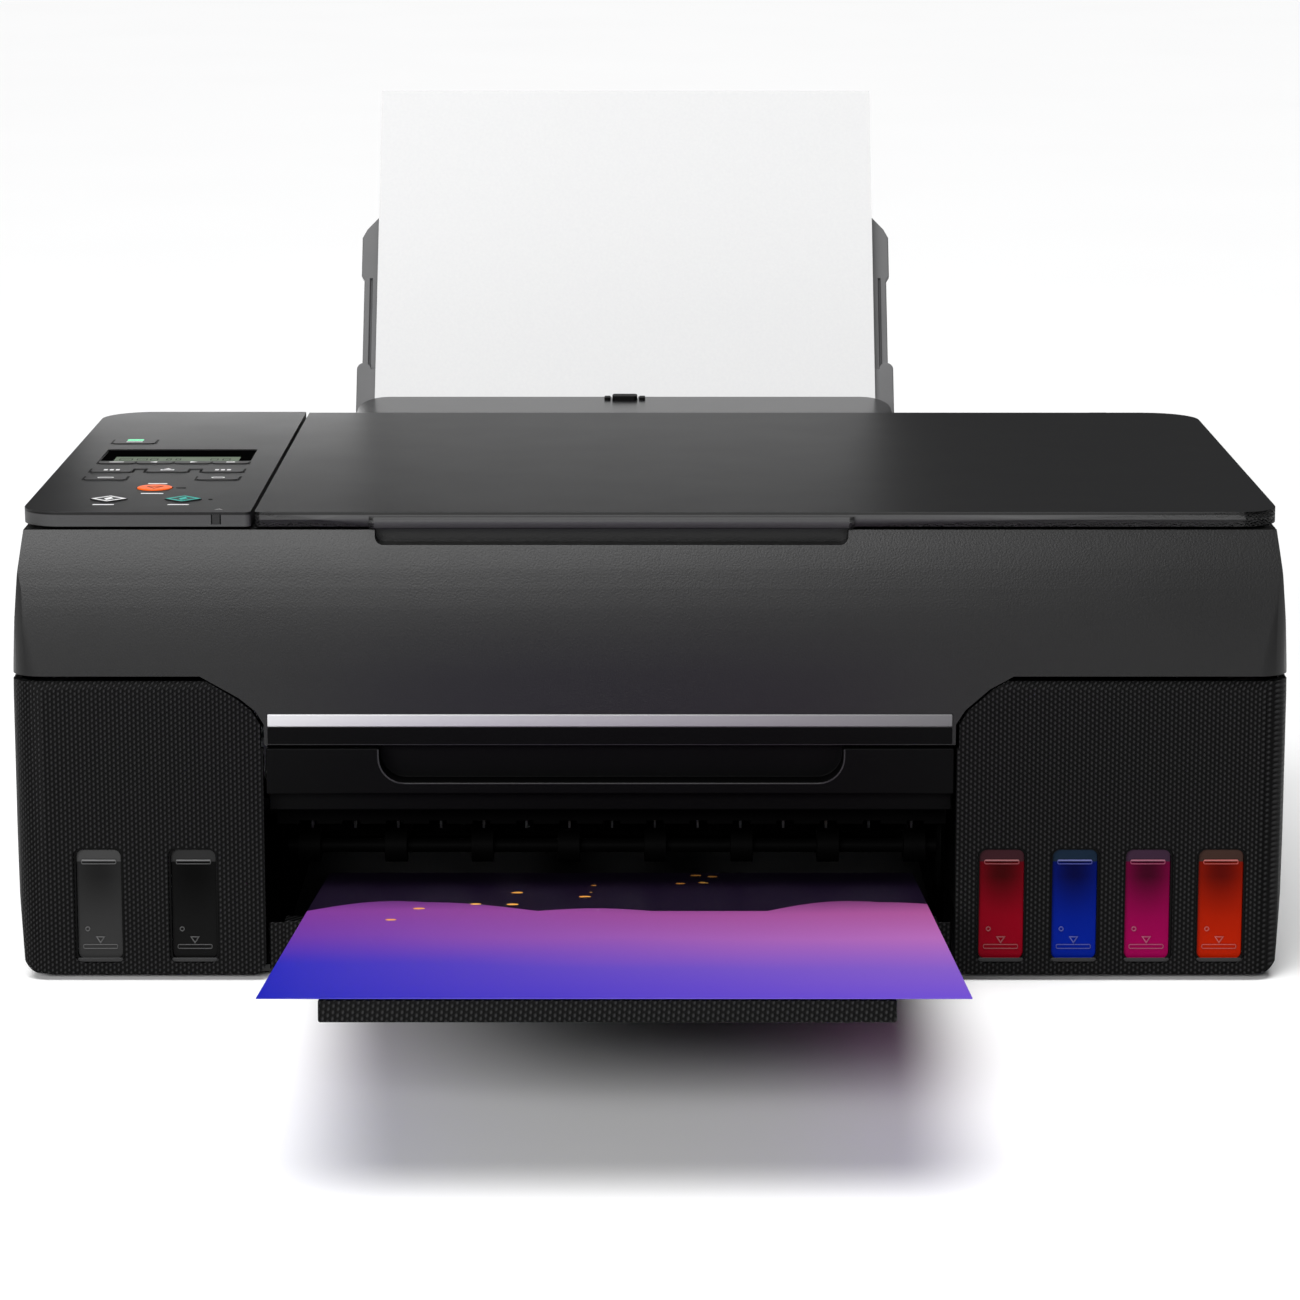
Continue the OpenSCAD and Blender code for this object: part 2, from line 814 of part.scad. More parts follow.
// the station that seals and wipes the parked print head
module capping_station() {
    x = bay_right + 6;
    w = 62;
    y0 = platen_y0 + 4;
    y1 = platen_y1 - 8;
    case_t = 3;
    case_top = 36;
    tray_z = 12;
    cap_in = 12;
    cap_top = 37.5;
    wiper_in = 5;
    wiper_t = 2;
    wiper_top = 38.5;
    pump_r = 9;
    pump_x = 10;
    pump_l = 20;
    pump_z = 24;
    color(grey_part) {
        difference() {
            block([x, y0, floor_top], [x + w, y1, case_top]);
            block([x + case_t, y0 + case_t, tray_z], [x + w - case_t, y1 - case_t, case_top + cut]);
        }
        block([x + cap_in, y0 + cap_in - 2, tray_z - 2], [x + w - cap_in, y1 - cap_in, cap_top]);
        block([x + wiper_in, y0 + cap_in - 2, tray_z - 2], [x + wiper_in + wiper_t, y1 - cap_in, wiper_top]);
        translate([0, y1 + pump_r + wall * 2, pump_z]) rod(x + pump_x, x + pump_x + pump_l, pump_r);
    }
}

module main_board() {
    board_t = 1.6;
    board_y = 10;
    board_z = 14;
    board_l = 130;
    board_h = 66;
    face = -side + 10 + board_t;
    chip_t = 3;
    // each chip: place along the board, height, and side
    chips = [[40, 26, 24], [80, 36, 15]];
    plug_y = 10;
    plug_z = 54;
    plug_l = 18;
    plug_h = 6;
    plug_pitch = 28;
    color(board_green) {
        block([face - board_t, board_y, board_z], [face, board_y + board_l, board_z + board_h]);
        for (chip = chips)
            translate([face, board_y + chip[0], board_z + chip[1]]) cube([chip_t, chip[2], chip[2]]);
    }
    color(dark_part) for (i = [0:3])
        translate([face, board_y + plug_y + plug_pitch * i, board_z + plug_z]) cube([plug_h, plug_l, plug_h]);
}

module power_supply() {
    supply = [76, 70, 44];
    supply_x = side - 56;
    supply_y = rear - 62;
    edge_r = 3;
    color(grey_part) translate([supply_x, supply_y, floor_top]) round_plate(supply, edge_r);
}

// the hole for a socket in the rear wall
module rear_socket_hole(s, gap) {
    block([s[0] - s[2] / 2 - gap, rear - wall - cut, s[1] - s[3] / 2 - gap],
          [s[0] + s[2] / 2 + gap, rear + cut, s[1] + s[3] / 2 + gap]);
}

// the power inlet and the data port, both open to the rear
module rear_sockets() {
    socket_d = 16;
    lip = 1.6;
    sunk = 0.3;
    pin_x = 5;
    pin_r = 1.6;
    pin_sunk = 3;
    tongue = 2.5;
    tongue_sunk = 4;
    color(dark_part) for (s = rear_socket_places) difference() {
        block([s[0] - s[2] / 2, rear - socket_d, s[1] - s[3] / 2],
              [s[0] + s[2] / 2, rear - sunk, s[1] + s[3] / 2]);
        block([s[0] - s[2] / 2 + lip, rear - socket_d + 2 * lip, s[1] - s[3] / 2 + lip],
              [s[0] + s[2] / 2 - lip, rear + cut, s[1] + s[3] / 2 - lip]);
    }
    color(steel) {
        for (x = [-pin_x, pin_x])
            translate([rear_socket_places[0][0] + x, rear - pin_sunk, rear_socket_places[0][1]])
                rotate([90, 0, 0]) cylinder(r = pin_r, h = socket_d - pin_sunk - lip);
        s = rear_socket_places[1];
        block([s[0] - tongue, rear - socket_d + lip, s[1] - tongue],
              [s[0] + tongue, rear - tongue_sunk, s[1] + tongue]);
    }
}

// the fixed rear top with the feed slot, and the chute under it
module rear_housing() {
    lip_t = 3;
    lip_gap = 2;
    cheek_x = [slot_left - lip_gap - lip_t, slot_right + lip_gap];
    lip_half = 2.5;
    lip_end = flap_axis_y + 45;
    lip_low = rear_top - wall / 2;
    side_y = -18;
    side_top = chute_high - 16;
    color(black_shell) {
        difference() {
            intersection() {
                body_shape(0, parting_z, rear_top, rear, rear_r);
                block([-side, rear_front, parting_z], [side, rear, rear_top]);
            }
            intersection() {
                body_shape(wall, parting_z - cut, rear_top - wall, rear, rear_r);
                block([-side, rear_front + wall, parting_z - cut], [side, rear, rear_top - wall]);
            }
            block([slot_left, rear_front + wall, rear_top - wall - cut],
                  [slot_right, rear + cut, rear_top + cut]);
            block([slot_left, rear - wall - cut, slot_back_z], [slot_right, rear + cut, rear_top + cut]);
        }
        // sloping cheeks beside the slot, with bores for the cover's pins
        for (x = cheek_x) difference() {
            translate([x, 0, 0]) rotate([90, 0, 90]) linear_extrude(lip_t) polygon([
                [flap_axis_y - lip_half, lip_low], [flap_axis_y - lip_half, flap_axis_z + 2 * flap_pin_r],
                [flap_axis_y + lip_half, flap_axis_z + 2 * flap_pin_r], [lip_end, rear_top], [lip_end, lip_low]
            ]);
            translate([0, flap_axis_y, flap_axis_z]) rod(x - cut, x + lip_t + cut, flap_pin_r + run);
        }
    }
    color(dark_part) on_paper() difference() {
        union() {
            block([slot_left - cheek_t, chute_y, chute_low],
                  [slot_right + cheek_t, chute_y + chute_t, chute_high]);
            for (x = [slot_left - cheek_t, slot_right])
                block([x, side_y, chute_low], [x + cheek_t, chute_y + chute_t, side_top]);
            block([slot_left - cut, guide_bar_y, guide_bar_z],
                  [slot_right + cut, guide_bar_y + guide_bar_s, guide_bar_z + guide_bar_s]);
        }
        translate([0, pickup_y, pickup_z])
            rod(slot_left - 2 * cheek_t, slot_right + 2 * cheek_t, shaft_r + run);
    }
}

// two posts on the base with the pins that the scanner unit turns on
module hinge_posts() {
    foot_z = parting_z - 22;
    foot_top = parting_z - 4;
    pin_l = hinge_post_w + 2 * hinge_ear_w + 2.6;
    half_d = 6;
    half_w = hinge_post_w / 2;
    wall_gap = 0.7;
    color(steel) for (s = [-1, 1]) {
        x = s * hinge_post_x;
        reach = s * (side - wall - wall_gap);
        block([x - half_w, hinge_y - half_d, foot_z], [x + half_w, hinge_y + half_d, hinge_z]);
        block([min(x, reach), hinge_y - half_d, foot_z], [max(x, reach), hinge_y + half_d, foot_top]);
        translate([0, hinge_y, hinge_z]) {
            rod(x - half_w, x + half_w, half_d);
            rod(x - pin_l / 2, x + pin_l / 2, hinge_pin_r);
        }
    }
}

// the shape of the door in the rear wall over the waste ink cartridge
module maintenance_door(gap, inner) {
    half = door_w / 2 + gap;
    swing = 2.7 * gap;
    block([door_x - half, rear - wall + inner, door_pin_z - wall / 2 - swing],
          [door_x + half, rear + (gap > 0 ? cut : 0), door_top + gap]);
}

module maintenance_cover() {
    grip_w = 6;
    grip_h = 10;
    grip_z = 30;
    grip_d = 0.6;
    grip_pitch = 14;
    pin_out = 0.2;
    color(black_shell) difference() {
        maintenance_door(0, 0);
        // four shallow finger grips
        for (i = [0:3]) translate([door_x - 25 + grip_pitch * i, rear - grip_d, grip_z])
            cube([grip_w, grip_d + cut, grip_h]);
    }
    // pins at the bottom corners, inside the wall
    color(black_shell) translate([0, rear - wall / 2, door_pin_z])
        rod(door_x - door_w / 2 - pin_out, door_x + door_w / 2 + pin_out, door_pin_r);
}

module maintenance_cartridge() {
    half = 45;
    case_t = 4;
    case_d = 44;
    case_top = 44;
    back = rear - 12;
    pad_z = 12;
    pad_top = 40;
    pad_gap = 1;
    inner = half - case_t;
    color(grey_part) difference() {
        block([door_x - half, rear - case_d, floor_top], [door_x + half, rear - wall - pad_gap, case_top]);
        block([door_x - inner, rear - case_d + case_t, pad_z], [door_x + inner, back, case_top + cut]);
    }
    color(paper_white) block([door_x - inner + pad_gap, rear - case_d + case_t + pad_gap, pad_z],
                             [door_x + inner - pad_gap, back - pad_gap, pad_top]);
}

// the carriage and the print head, riding on the guide rod and clamped to the belt
module print_carriage() {
    low = platen_z + 3;
    top = 92;
    y0 = platen_y0 + 3;
    y1 = front + 132;
    step_h = 12;
    step_side = 4;
    step_front = 1;
    step_d = y1 - y0 - 14;
    edge_r = 3;
    clamp_half = 10;
    clamp_y = belt_y - 5;
    clamp_t = 3;
    clamp_lap = 2;
    clamp_back = 0.6;
    head_half = 24;
    head_y = y0 + 10;
    head_d = 24;
    head_low = platen_z + 1.4;
    color(dark_part) difference() {
        union() {
            translate([carriage_x, (y0 + y1) / 2, low])
                round_plate([carriage_w, y1 - y0, top - low - step_h], edge_r);
            translate([carriage_x, y0 + step_front + step_d / 2, low + step_side])
                round_plate([carriage_w - 2 * step_side, step_d, top - low - step_side], edge_r);
        }
        translate([0, rod_y, rod_z]) rod(carriage_x - carriage_w, carriage_x + carriage_w, rod_r + run);
    }
    // the belt clamp, round the lower run of the belt
    color(dark_part) difference() {
        block([carriage_x - clamp_half, clamp_y, belt_z - belt_r - belt_t - clamp_t],
              [carriage_x + clamp_half, belt_y + belt_w + clamp_back, belt_z - belt_r + clamp_lap]);
        block([carriage_x - clamp_half - cut, belt_y - joint_gap, belt_z - belt_r - belt_t - joint_gap],
              [carriage_x + clamp_half + cut, belt_y + belt_w + clamp_lap, belt_z - belt_r + joint_gap]);
    }
    // the print head under the carriage
    color(steel) block([carriage_x - head_half, head_y, head_low],
                       [carriage_x + head_half, head_y + head_d, low + cut]);
}

// the rubber roller that takes the top sheet
module pickup_roller() {
    tyre_w = 22;
    tyre_out = 34;
    end_gap = 0.2;
    gear_r = 9;
    gear_w = 4;
    gear_x = slot_right + cheek_t + 1;
    color(rubber_black) on_paper() translate([0, pickup_y, pickup_z]) {
        rod(slot_left - cheek_t + end_gap, gear_x + gear_w + 1, shaft_r);
        for (x = [paper_x - tyre_out, paper_x + tyre_out - tyre_w]) rod(x, x + tyre_w, pickup_r);
        rod(gear_x, gear_x + gear_w, gear_r);
    }
}

// the inner stage of the tray: a shallow channel
module output_tray() {
    rail_w = 2;
    half = tray_w / 2 + joint_gap + rail_w;
    low = -tray_lip_h - tray_gap;
    stage_front = -tray_front + tray_travel;
    color(dark_part) on_tray() {
        block([tray_x - half, stage_front, low], [tray_x + half, -tray_rear, low + tray_t]);
        for (x = [tray_x - half, tray_x + half - rail_w])
            block([x, stage_front, low + tray_t / 2], [x + rail_w, -tray_rear, -tray_gap - joint_gap]);
    }
}

// the outer stage of the tray, with its upright front edge
module tray_extension() {
    half = tray_w / 2;
    lip_t = 3;
    low = -tray_lip_h - tray_gap;
    stage_gap = 0.3;
    color(black_texture) on_tray() {
        block([tray_x - half, -tray_front, low + tray_t + stage_gap],
              [tray_x + half, -tray_front + tray_travel + tray_lap, -tray_gap]);
        block([tray_x - half, -tray_front, low], [tray_x + half, -tray_front + lip_t, -tray_gap]);
    }
}

// the flat flap over the feed slot, turning on pins at its front edge
module feed_slot_cover() {
    corner_w = 11;
    corner_d = 28;
    corner_steps = 6;
    clip_w = 11;
    clip_d = 4;
    pin_half = slot_half_w + 4.4;
    lift = atan(flap_rise / (flap_free_y - flap_axis_y));
    len = (flap_free_y - flap_axis_y) / cos(lift);
    bend = [for (i = [0:corner_steps]) 90 * i / corner_steps];
    color(black_shell) translate([paper_x, flap_axis_y, flap_axis_z]) rotate([lift, 0, 0]) {
        translate([0, 0, -flap_t / 2]) linear_extrude(flap_t) difference() {
            polygon(concat(
                [[-flap_half_w, 0], [flap_half_w, 0]],
                [for (a = bend) [flap_half_w - corner_w * (1 - cos(a)), len - corner_d * (1 - sin(a))]],
                [for (a = bend) [-flap_half_w + corner_w * (1 - sin(a)), len - corner_d * (1 - cos(a))]]
            ));
            // the notch of the middle clip
            translate([-clip_w / 2, len - clip_d]) square([clip_w, clip_d + cut]);
        }
        rod(-flap_half_w, flap_half_w, flap_r);
        rod(-pin_half, pin_half, flap_pin_r);
    }
}

// the low wide stage of the paper support, right behind the paper
module paper_support() {
    knob_r = 3;
    color(grey_part) on_paper() {
        block([paper_x - support_half_w, support_y, support_low],
              [paper_x + support_half_w, support_y + support_t, support_high]);
        for (x = [-1, 1]) translate([paper_x + x * (support_half_w - knob_r), 0, support_high])
            along_y(support_y, support_y + support_t) circle(knob_r);
    }
}

// the tall stage of the paper support, which slides behind the low one
module paper_support_extension() {
    rail = support_half_w - 2;
    wing = support_half_w - 0.8;
    shoulder = support_half_w - 8;
    rail_low = -20;
    rail_high = 58.6;
    wing_low = 60.6;
    wing_high = 78.6;
    stage_top = 95.6;
    groove_x = support_half_w - 5;
    groove_w = 0.8;
    groove_d = 1;
    groove_end = 2;
    y = support_y + support_t + stage_gap;
    half = [
        [rail, rail_low], [rail, rail_high], [wing, wing_low], [wing, wing_high],
        [wing - 2, wing_high + 4], [shoulder, stage_top - 7], [shoulder, stage_top]
    ];
    last = len(half) - 1;
    color(grey_part) on_paper() difference() {
        along_y(y, y + support_t) translate([paper_x, 0])
            polygon(concat(half, [for (i = [last:-1:0]) [-half[i][0], half[i][1]]]));
        // long grooves that set off the rails
        for (x = [-1, 1]) translate([paper_x + x * groove_x, 0, 0])
            block([-groove_w / 2, y - cut, support_high + groove_end],
                  [groove_w / 2, y + groove_d, wing_low - groove_end / 2]);
    }
}

// an upright guide beside the paper, astride the guide bar
module paper_guide(x) {
    wrap = 4;
    gap = 0.3;
    top = -12;
    back_gap = 0.2;
    color(grey_part) on_paper() translate([x, 0, 0]) difference() {
        block([0, guide_bar_y - wrap, guide_bar_z - wrap], [guide_t, stack_t - back_gap, top]);
        block([-cut, guide_bar_y - gap, guide_bar_z - gap],
              [guide_t + cut, guide_bar_y + guide_bar_s + gap, guide_bar_z + guide_bar_s + gap]);
    }
}

module paper_guide_left() {
    paper_guide(paper_x - sheet_w / 2 - guide_gap - guide_t);
}

module paper_guide_right() {
    paper_guide(paper_x + sheet_w / 2 + guide_gap);
}

module rear_paper() {
    color(paper_white) on_paper()
        block([paper_x - sheet_w / 2, 0, paper_out - sheet_l], [paper_x + sheet_w / 2, stack_t, paper_out]);
}

module printed_sheet() {
    color(print_violet) on_tray()
        block([paper_x - sheet_w / 2, -sheet_l, 0], [paper_x + sheet_w / 2, 0, sheet_t]);
}

// the scanner unit's outer shape, whose front bows back towards the deck
module unit_shape(inset, z0, z1) {
    bow_steps = 7;
    bow_top = deck_z + cut;
    intersection() {
        body_shape(inset, z0, z1, unit_back, unit_rear_r);
        translate([-side - cut, 0, 0]) rotate([90, 0, 90]) linear_extrude(2 * side + 2 * cut) polygon(concat(
            [[unit_back + cut, bow_top], [unit_back + cut, z0 - cut], [front + inset, z0 - cut]],
            [for (i = [0:bow_steps]) let (rise = i / bow_steps * (bow_top - bow_z))
                [front + inset + bow_r - sqrt(bow_r * bow_r - rise * rise), bow_z + rise]]
        ));
    }
}

// the scanner unit's casing with its apron, hinge ears and lid ears
module scanner_housing() {
    floor_t = wall;
    rail_half = 4;
    notch = hinge_post_w + 1.6;
    notch_d = 26;
    notch_top = deck_z - wall - 2;
    glass_rim = 4;
    glass_gap = 0.2;
    glass_seat = 1.5;
    pocket_side = 1.9;
    pocket_r = 3;
    block_in = front_lean + 0.3;
    color(black_shell) difference() {
        union() {
            difference() {
                unit_shape(0, unit_bottom, deck_z);
                unit_shape(wall, unit_bottom + floor_t, deck_z - wall);
            }
            // the apron that hangs down in front of the parting line
            intersection() {
                along_y(front, front + apron_d) apron_outline(0);
                block([-side, front, grip_top], [side, front + apron_d, unit_bottom + floor_t]);
            }
            // the moulded rail that the scan bar runs on
            block([glass_x - glass_w / 2 + glass_rim, glass_y - rail_half, unit_bottom + cut],
                  [glass_x + glass_w / 2 - glass_rim, glass_y + rail_half, scan_rail_top]);
            for (s = [-1, 1], e = [-1, 1]) {
                x = s * hinge_post_x + e * (notch / 2 + hinge_ear_w / 2);
                block([x - hinge_ear_w / 2, hinge_y - hinge_ear_r, unit_bottom + cut],
                      [x + hinge_ear_w / 2, unit_back - cut, deck_z - cut]);
            }
            // blocks behind the finger pocket
            block([lip_x - lip_w / 2 - cut, front + block_in, deck_z - pocket_h - wall],
                  [lip_x + lip_w / 2 + cut, front + pocket_d + wall, deck_z - cut]);
        }
        // the glass opening
        translate([glass_x, glass_y, deck_z - wall - cut]) linear_extrude(wall + 3 * cut)
            square([glass_w - 2 * glass_rim, glass_d - 2 * glass_rim], center = true);
        translate([glass_x, glass_y, deck_z - glass_t + wall - glass_seat]) linear_extrude(glass_t)
            square([glass_w + 2 * glass_gap, glass_d + 2 * glass_gap], center = true);
        // the finger pocket under the lid's lip
        along_y(front - cut, front + pocket_d)
            translate([lip_x, deck_z + pocket_r])
                round_rect(lip_w - 2 * pocket_side, 2 * (pocket_h + pocket_r), pocket_r);
        // clearance for the hinge posts, open to the rear and below
        for (s = [-1, 1])
            block([s * hinge_post_x - notch / 2, hinge_y - notch_d, unit_bottom - cut],
                  [s * hinge_post_x + notch / 2, unit_back + cut, notch_top]);
        for (s = [-1, 1]) translate([s * hinge_post_x, hinge_y, hinge_z])
            rod(-notch / 2 - hinge_ear_w - cut, notch / 2 + hinge_ear_w + cut, hinge_pin_r + run);
        // the seat of the bright strip
        block([bay_left + strip_in, front - cut, strip_bottom],
              [bay_right - strip_in, front + strip_d, strip_bottom + strip_h]);
    }
    // the ears and pins that the lid turns on
    ear_r = 2;
    pin_out = 4;
    color(black_shell) for (x = lid_ear_x) {
        block([x - lid_ear_w / 2, lid_axis_y - ear_r, deck_z - cut],
              [x + lid_ear_w / 2, lid_axis_y + ear_r, lid_axis_z]);
        translate([0, lid_axis_y, lid_axis_z]) {
            rod(x - lid_ear_w / 2, x + lid_ear_w / 2, ear_r);
            rod(x - lid_ear_w / 2 - pin_out, x + lid_ear_w / 2 + pin_out, lid_pin_r);
        }
    }
}

module scanner_glass() {
    seat = 1;
    color(glass_grey) translate([glass_x, glass_y, deck_z - glass_t + seat]) linear_extrude(glass_t - seat)
        square([glass_w, glass_d], center = true);
}

// the bar of lamps and sensors that travels under the glass
module scan_bar() {
    bar_w = 22;
    bar_h = 12;
    bar_top = deck_z - 5;
    end_gap = 5;
    saddle_half = 9;
    saddle_h = 8;
    rail_half = 4.3;
    rail_gap = 0.3;
    x0 = glass_x - glass_w / 2 + end_gap;
    half_d = glass_d / 2 - end_gap;
    color(dark_part) difference() {
        union() {
            block([x0, glass_y - half_d, bar_top - bar_h], [x0 + bar_w, glass_y + half_d, bar_top]);
            block([x0, glass_y - saddle_half, scan_rail_top - saddle_h],
                  [x0 + bar_w, glass_y + saddle_half, bar_top - bar_h + cut]);
        }
        block([x0 - cut, glass_y - rail_half, scan_rail_top - saddle_h - cut],
              [x0 + bar_w + cut, glass_y + rail_half, scan_rail_top + rail_gap]);
    }
}

// a slab whose corners each have their own radius, standing on z = 0
module slab(x0, x1, y0, y1, radii, h) {
    linear_extrude(h) difference() {
        translate([x0, y0]) square([x1 - x0, y1 - y0]);
        corner_cut(x0, y0, 1, 1, radii[0]);
        corner_cut(x1, y0, -1, 1, radii[1]);
        corner_cut(x1, y1, -1, -1, radii[2]);
        corner_cut(x0, y1, 1, -1, radii[3]);
    }
}

// what a rounded corner takes off a square one
module corner_cut(x, y, sx, sy, r) {
    difference() {
        translate([x - (sx < 0 ? r : cut), y - (sy < 0 ? r : cut)]) square(r + cut);
        translate([x + sx * r, y + sy * r]) circle(r);
    }
}

module document_lid() {
    edge_r = slab_h / 2;
    // radii of the corners: front left, front right, rear right, rear left
    corners = [slab_inner_r, slab_front_r, slab_rear_r, 0.5];
    lip_corners = [2, 2, 1, 1];
    lip_drop = 0.2;
    lip_h = 4;
    lip_lap = 4;
    ear_half = lid_ear_w / 2 + joint_gap;
    ear_front = 6;
    ear_back = 4;
    bore_half = 8;
    color(black_shell) difference() {
        union() {
            translate([0, 0, slab_bottom]) slab(lid_left, panel_side, slab_front, lid_axis_y, corners, slab_h);
            translate([0, lid_axis_y, lid_axis_z]) rod(lid_left, panel_side - slab_rear_r, edge_r);
            translate([lip_x, 0, slab_bottom - lip_drop])
                slab(-lip_w / 2, lip_w / 2, slab_front - lip_out, slab_front + lip_lap, lip_corners, lip_h);
        }
        for (x = lid_ear_x) {
            block([x - ear_half, lid_axis_y - ear_front, slab_bottom - cut],
                  [x + ear_half, lid_axis_y + ear_back, slab_top + cut]);
            translate([0, lid_axis_y, lid_axis_z]) rod(x - bore_half, x + bore_half, lid_pin_r + run);
        }
    }
}

// the white backing under the lid
module lid_pad() {
    pad_t = slab_bottom - deck_z - 0.3;
    edge_x = 1;
    edge_y = 3;
    color(paper_white) translate([glass_x, glass_y, slab_bottom - pad_t]) linear_extrude(pad_t)
        square([glass_w - 2 * edge_x, glass_d - 2 * edge_y], center = true);
}

// hollow for a key, open at the top of the panel
module key_pocket(at, size, r) {
    depth = key_h + key_travel + joint_gap;
    translate([at[0], at[1], slab_top - depth])
        round_plate([size[0] + 2 * key_gap, size[1] + 2 * key_gap, depth + cut], r + key_gap);
}

// the cap of a key
module key_cap(at, size, r) {
    translate([at[0], at[1], slab_top + key_proud - key_h]) round_plate([size[0], size[1], key_h], r);
}

// turns a key's outline into a diamond about its middle
module diamond(at) {
    translate([at[0], at[1], 0]) rotate([0, 0, 45]) children();
}

module control_panel() {
    // radii of the corners: front left, front right, rear right, rear left
    corners = [slab_front_r, slab_inner_r, 1, slab_rear_r];
    pad_d = 20;
    pad_y = [front + 50, front + unit_d / 2, unit_back - 47];
    color(black_shell) difference() {
        translate([0, 0, slab_bottom]) slab(-panel_side, panel_right, slab_front, unit_back, corners, slab_h);
        key_pocket(power_key_at, power_key_s, key_r);
        for (x = menu_key_x) key_pocket([x, menu_key_y], menu_key_s, key_r);
        for (x = arrow_key_x) key_pocket([x, arrow_key_y], arrow_key_s, key_r);
        for (i = [0, 2]) key_pocket([arrow_key_x[i], back_key_y], arrow_key_s, key_r);
        key_pocket(stop_key_at, stop_key_s, stop_corner_r);
        for (x = start_key_x)
            diamond([x, start_key_y]) key_pocket([0, 0], [start_key_s, start_key_s], start_key_r);
        // the shallow seat of the display window
        translate([lcd_at[0], lcd_at[1], slab_top - lcd_depth])
            round_plate([lcd_s[0], lcd_s[1], lcd_depth + cut], key_r);
    }
    // pads between the deck and the panel
    color(dark_part) for (y = pad_y)
        block([-panel_side + pad_d, y, deck_z], [panel_right - pad_d, y + pad_d, slab_bottom]);
}

module silver_trim() {
    in = strip_in + 0.2;
    proud = 0.4;
    gap = 0.1;
    color(bright_strip) block([bay_left + in, front - proud, strip_bottom + gap],
                              [bay_right - in, front + strip_d, strip_bottom + strip_h - gap]);
}

module power_key() { color(key_grey) key_cap(power_key_at, power_key_s, key_r); }
module menu_key(i) { color(key_grey) key_cap([menu_key_x[i], menu_key_y], menu_key_s, key_r); }
module arrow_key(i) { color(key_grey) key_cap([arrow_key_x[i], arrow_key_y], arrow_key_s, key_r); }
module side_key(i) { color(key_grey) key_cap([arrow_key_x[i], back_key_y], arrow_key_s, key_r); }
module stop_key() { color(stop_orange) key_cap(stop_key_at, stop_key_s, stop_corner_r); }
module start_key(i) { diamond([start_key_x[i], start_key_y]) key_cap([0, 0], [start_key_s, start_key_s], start_key_r); }

lower_housing();
rubber_feet();
front_fascia();
grip_panel();
left_tank_bezel();
right_tank_bezel();
left_ink_tanks();
right_ink_tanks();
tank_caps();
tank_covers();
printer_frame();
carriage_motor();
carriage_belt();
paper_motor();
platen();
star_wheel_bar();
capping_station();
main_board();
power_supply();
rear_sockets();
rear_housing();
hinge_posts();
maintenance_cover();
maintenance_cartridge();
print_carriage();
drive_pulley();
idler_pulley();
feed_roller();
eject_roller();
star_wheels();
pickup_roller();
output_tray();
tray_extension();
feed_slot_cover();
paper_support();
paper_support_extension();
paper_guide_left();
paper_guide_right();
rear_paper();
printed_sheet();
scanner_housing();
scanner_glass();
scan_bar();
document_lid();
lid_pad();
control_panel();
silver_trim();
power_key();
menu_key(0);  // menu_key_1
menu_key(1);  // menu_key_2
menu_key(2);  // menu_key_3
menu_key(3);  // menu_key_4
arrow_key(0);  // left_key
arrow_key(1);  // ok_key
arrow_key(2);  // right_key
side_key(0);  // back_key
side_key(2);  // help_key
stop_key();
color(key_white) start_key(0);  // mono_start_key
color(start_teal) start_key(1);  // colour_start_key
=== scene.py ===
"""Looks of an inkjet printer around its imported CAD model. Metres, Z up, the front faces -Y."""
import json
import math

import bmesh
import bpy
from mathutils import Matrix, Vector

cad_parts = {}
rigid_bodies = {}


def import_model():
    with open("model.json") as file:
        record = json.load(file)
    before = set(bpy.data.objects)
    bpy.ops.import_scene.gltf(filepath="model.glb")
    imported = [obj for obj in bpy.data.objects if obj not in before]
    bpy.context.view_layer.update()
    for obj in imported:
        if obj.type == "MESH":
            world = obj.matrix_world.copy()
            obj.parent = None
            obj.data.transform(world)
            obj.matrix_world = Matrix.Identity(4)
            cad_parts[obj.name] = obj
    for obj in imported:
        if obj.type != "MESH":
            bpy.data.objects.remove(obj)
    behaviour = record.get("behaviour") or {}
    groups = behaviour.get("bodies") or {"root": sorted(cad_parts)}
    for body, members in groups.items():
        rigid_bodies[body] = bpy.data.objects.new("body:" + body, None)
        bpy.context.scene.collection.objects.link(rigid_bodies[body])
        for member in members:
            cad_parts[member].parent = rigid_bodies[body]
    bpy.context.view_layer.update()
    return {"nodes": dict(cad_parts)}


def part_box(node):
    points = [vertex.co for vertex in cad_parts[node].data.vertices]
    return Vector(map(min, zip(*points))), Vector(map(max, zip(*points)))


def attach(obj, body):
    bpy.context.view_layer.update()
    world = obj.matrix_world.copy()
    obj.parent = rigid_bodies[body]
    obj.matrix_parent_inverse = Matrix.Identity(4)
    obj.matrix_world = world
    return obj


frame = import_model()
NODES = frame["nodes"]
MM = 0.001

# Places that the details are set out from, read from the CAD boxes
SIDE_X, REAR_Y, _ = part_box("lower_housing")[1]
FRONT_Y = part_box("scanner_housing")[0][1]
PANEL_LOW, PANEL_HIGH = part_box("control_panel")
PANEL_TOP = PANEL_HIGH[2]
SHEET_LOW, SHEET_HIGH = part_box("printed_sheet")
# how deep in the bay the printed picture reaches
BAY_Y = FRONT_Y + 33 * MM

# The ink windows, as in the CAD source
WINDOW_LOW = 6.4 * MM
WINDOW_HIGH = 47.9 * MM
WINDOW_W = 17.4 * MM
WINDOW_RIM = 0.8 * MM
INK_LEVEL = 0.87

# The camera: how far it is in front of the body, its height, its tilt down, and its lens in mm
CAMERA_BACK = 1.4879
CAMERA_HEIGHT = 0.4077
CAMERA_PITCH = math.radians(11)
CAMERA_LENS = 121.1

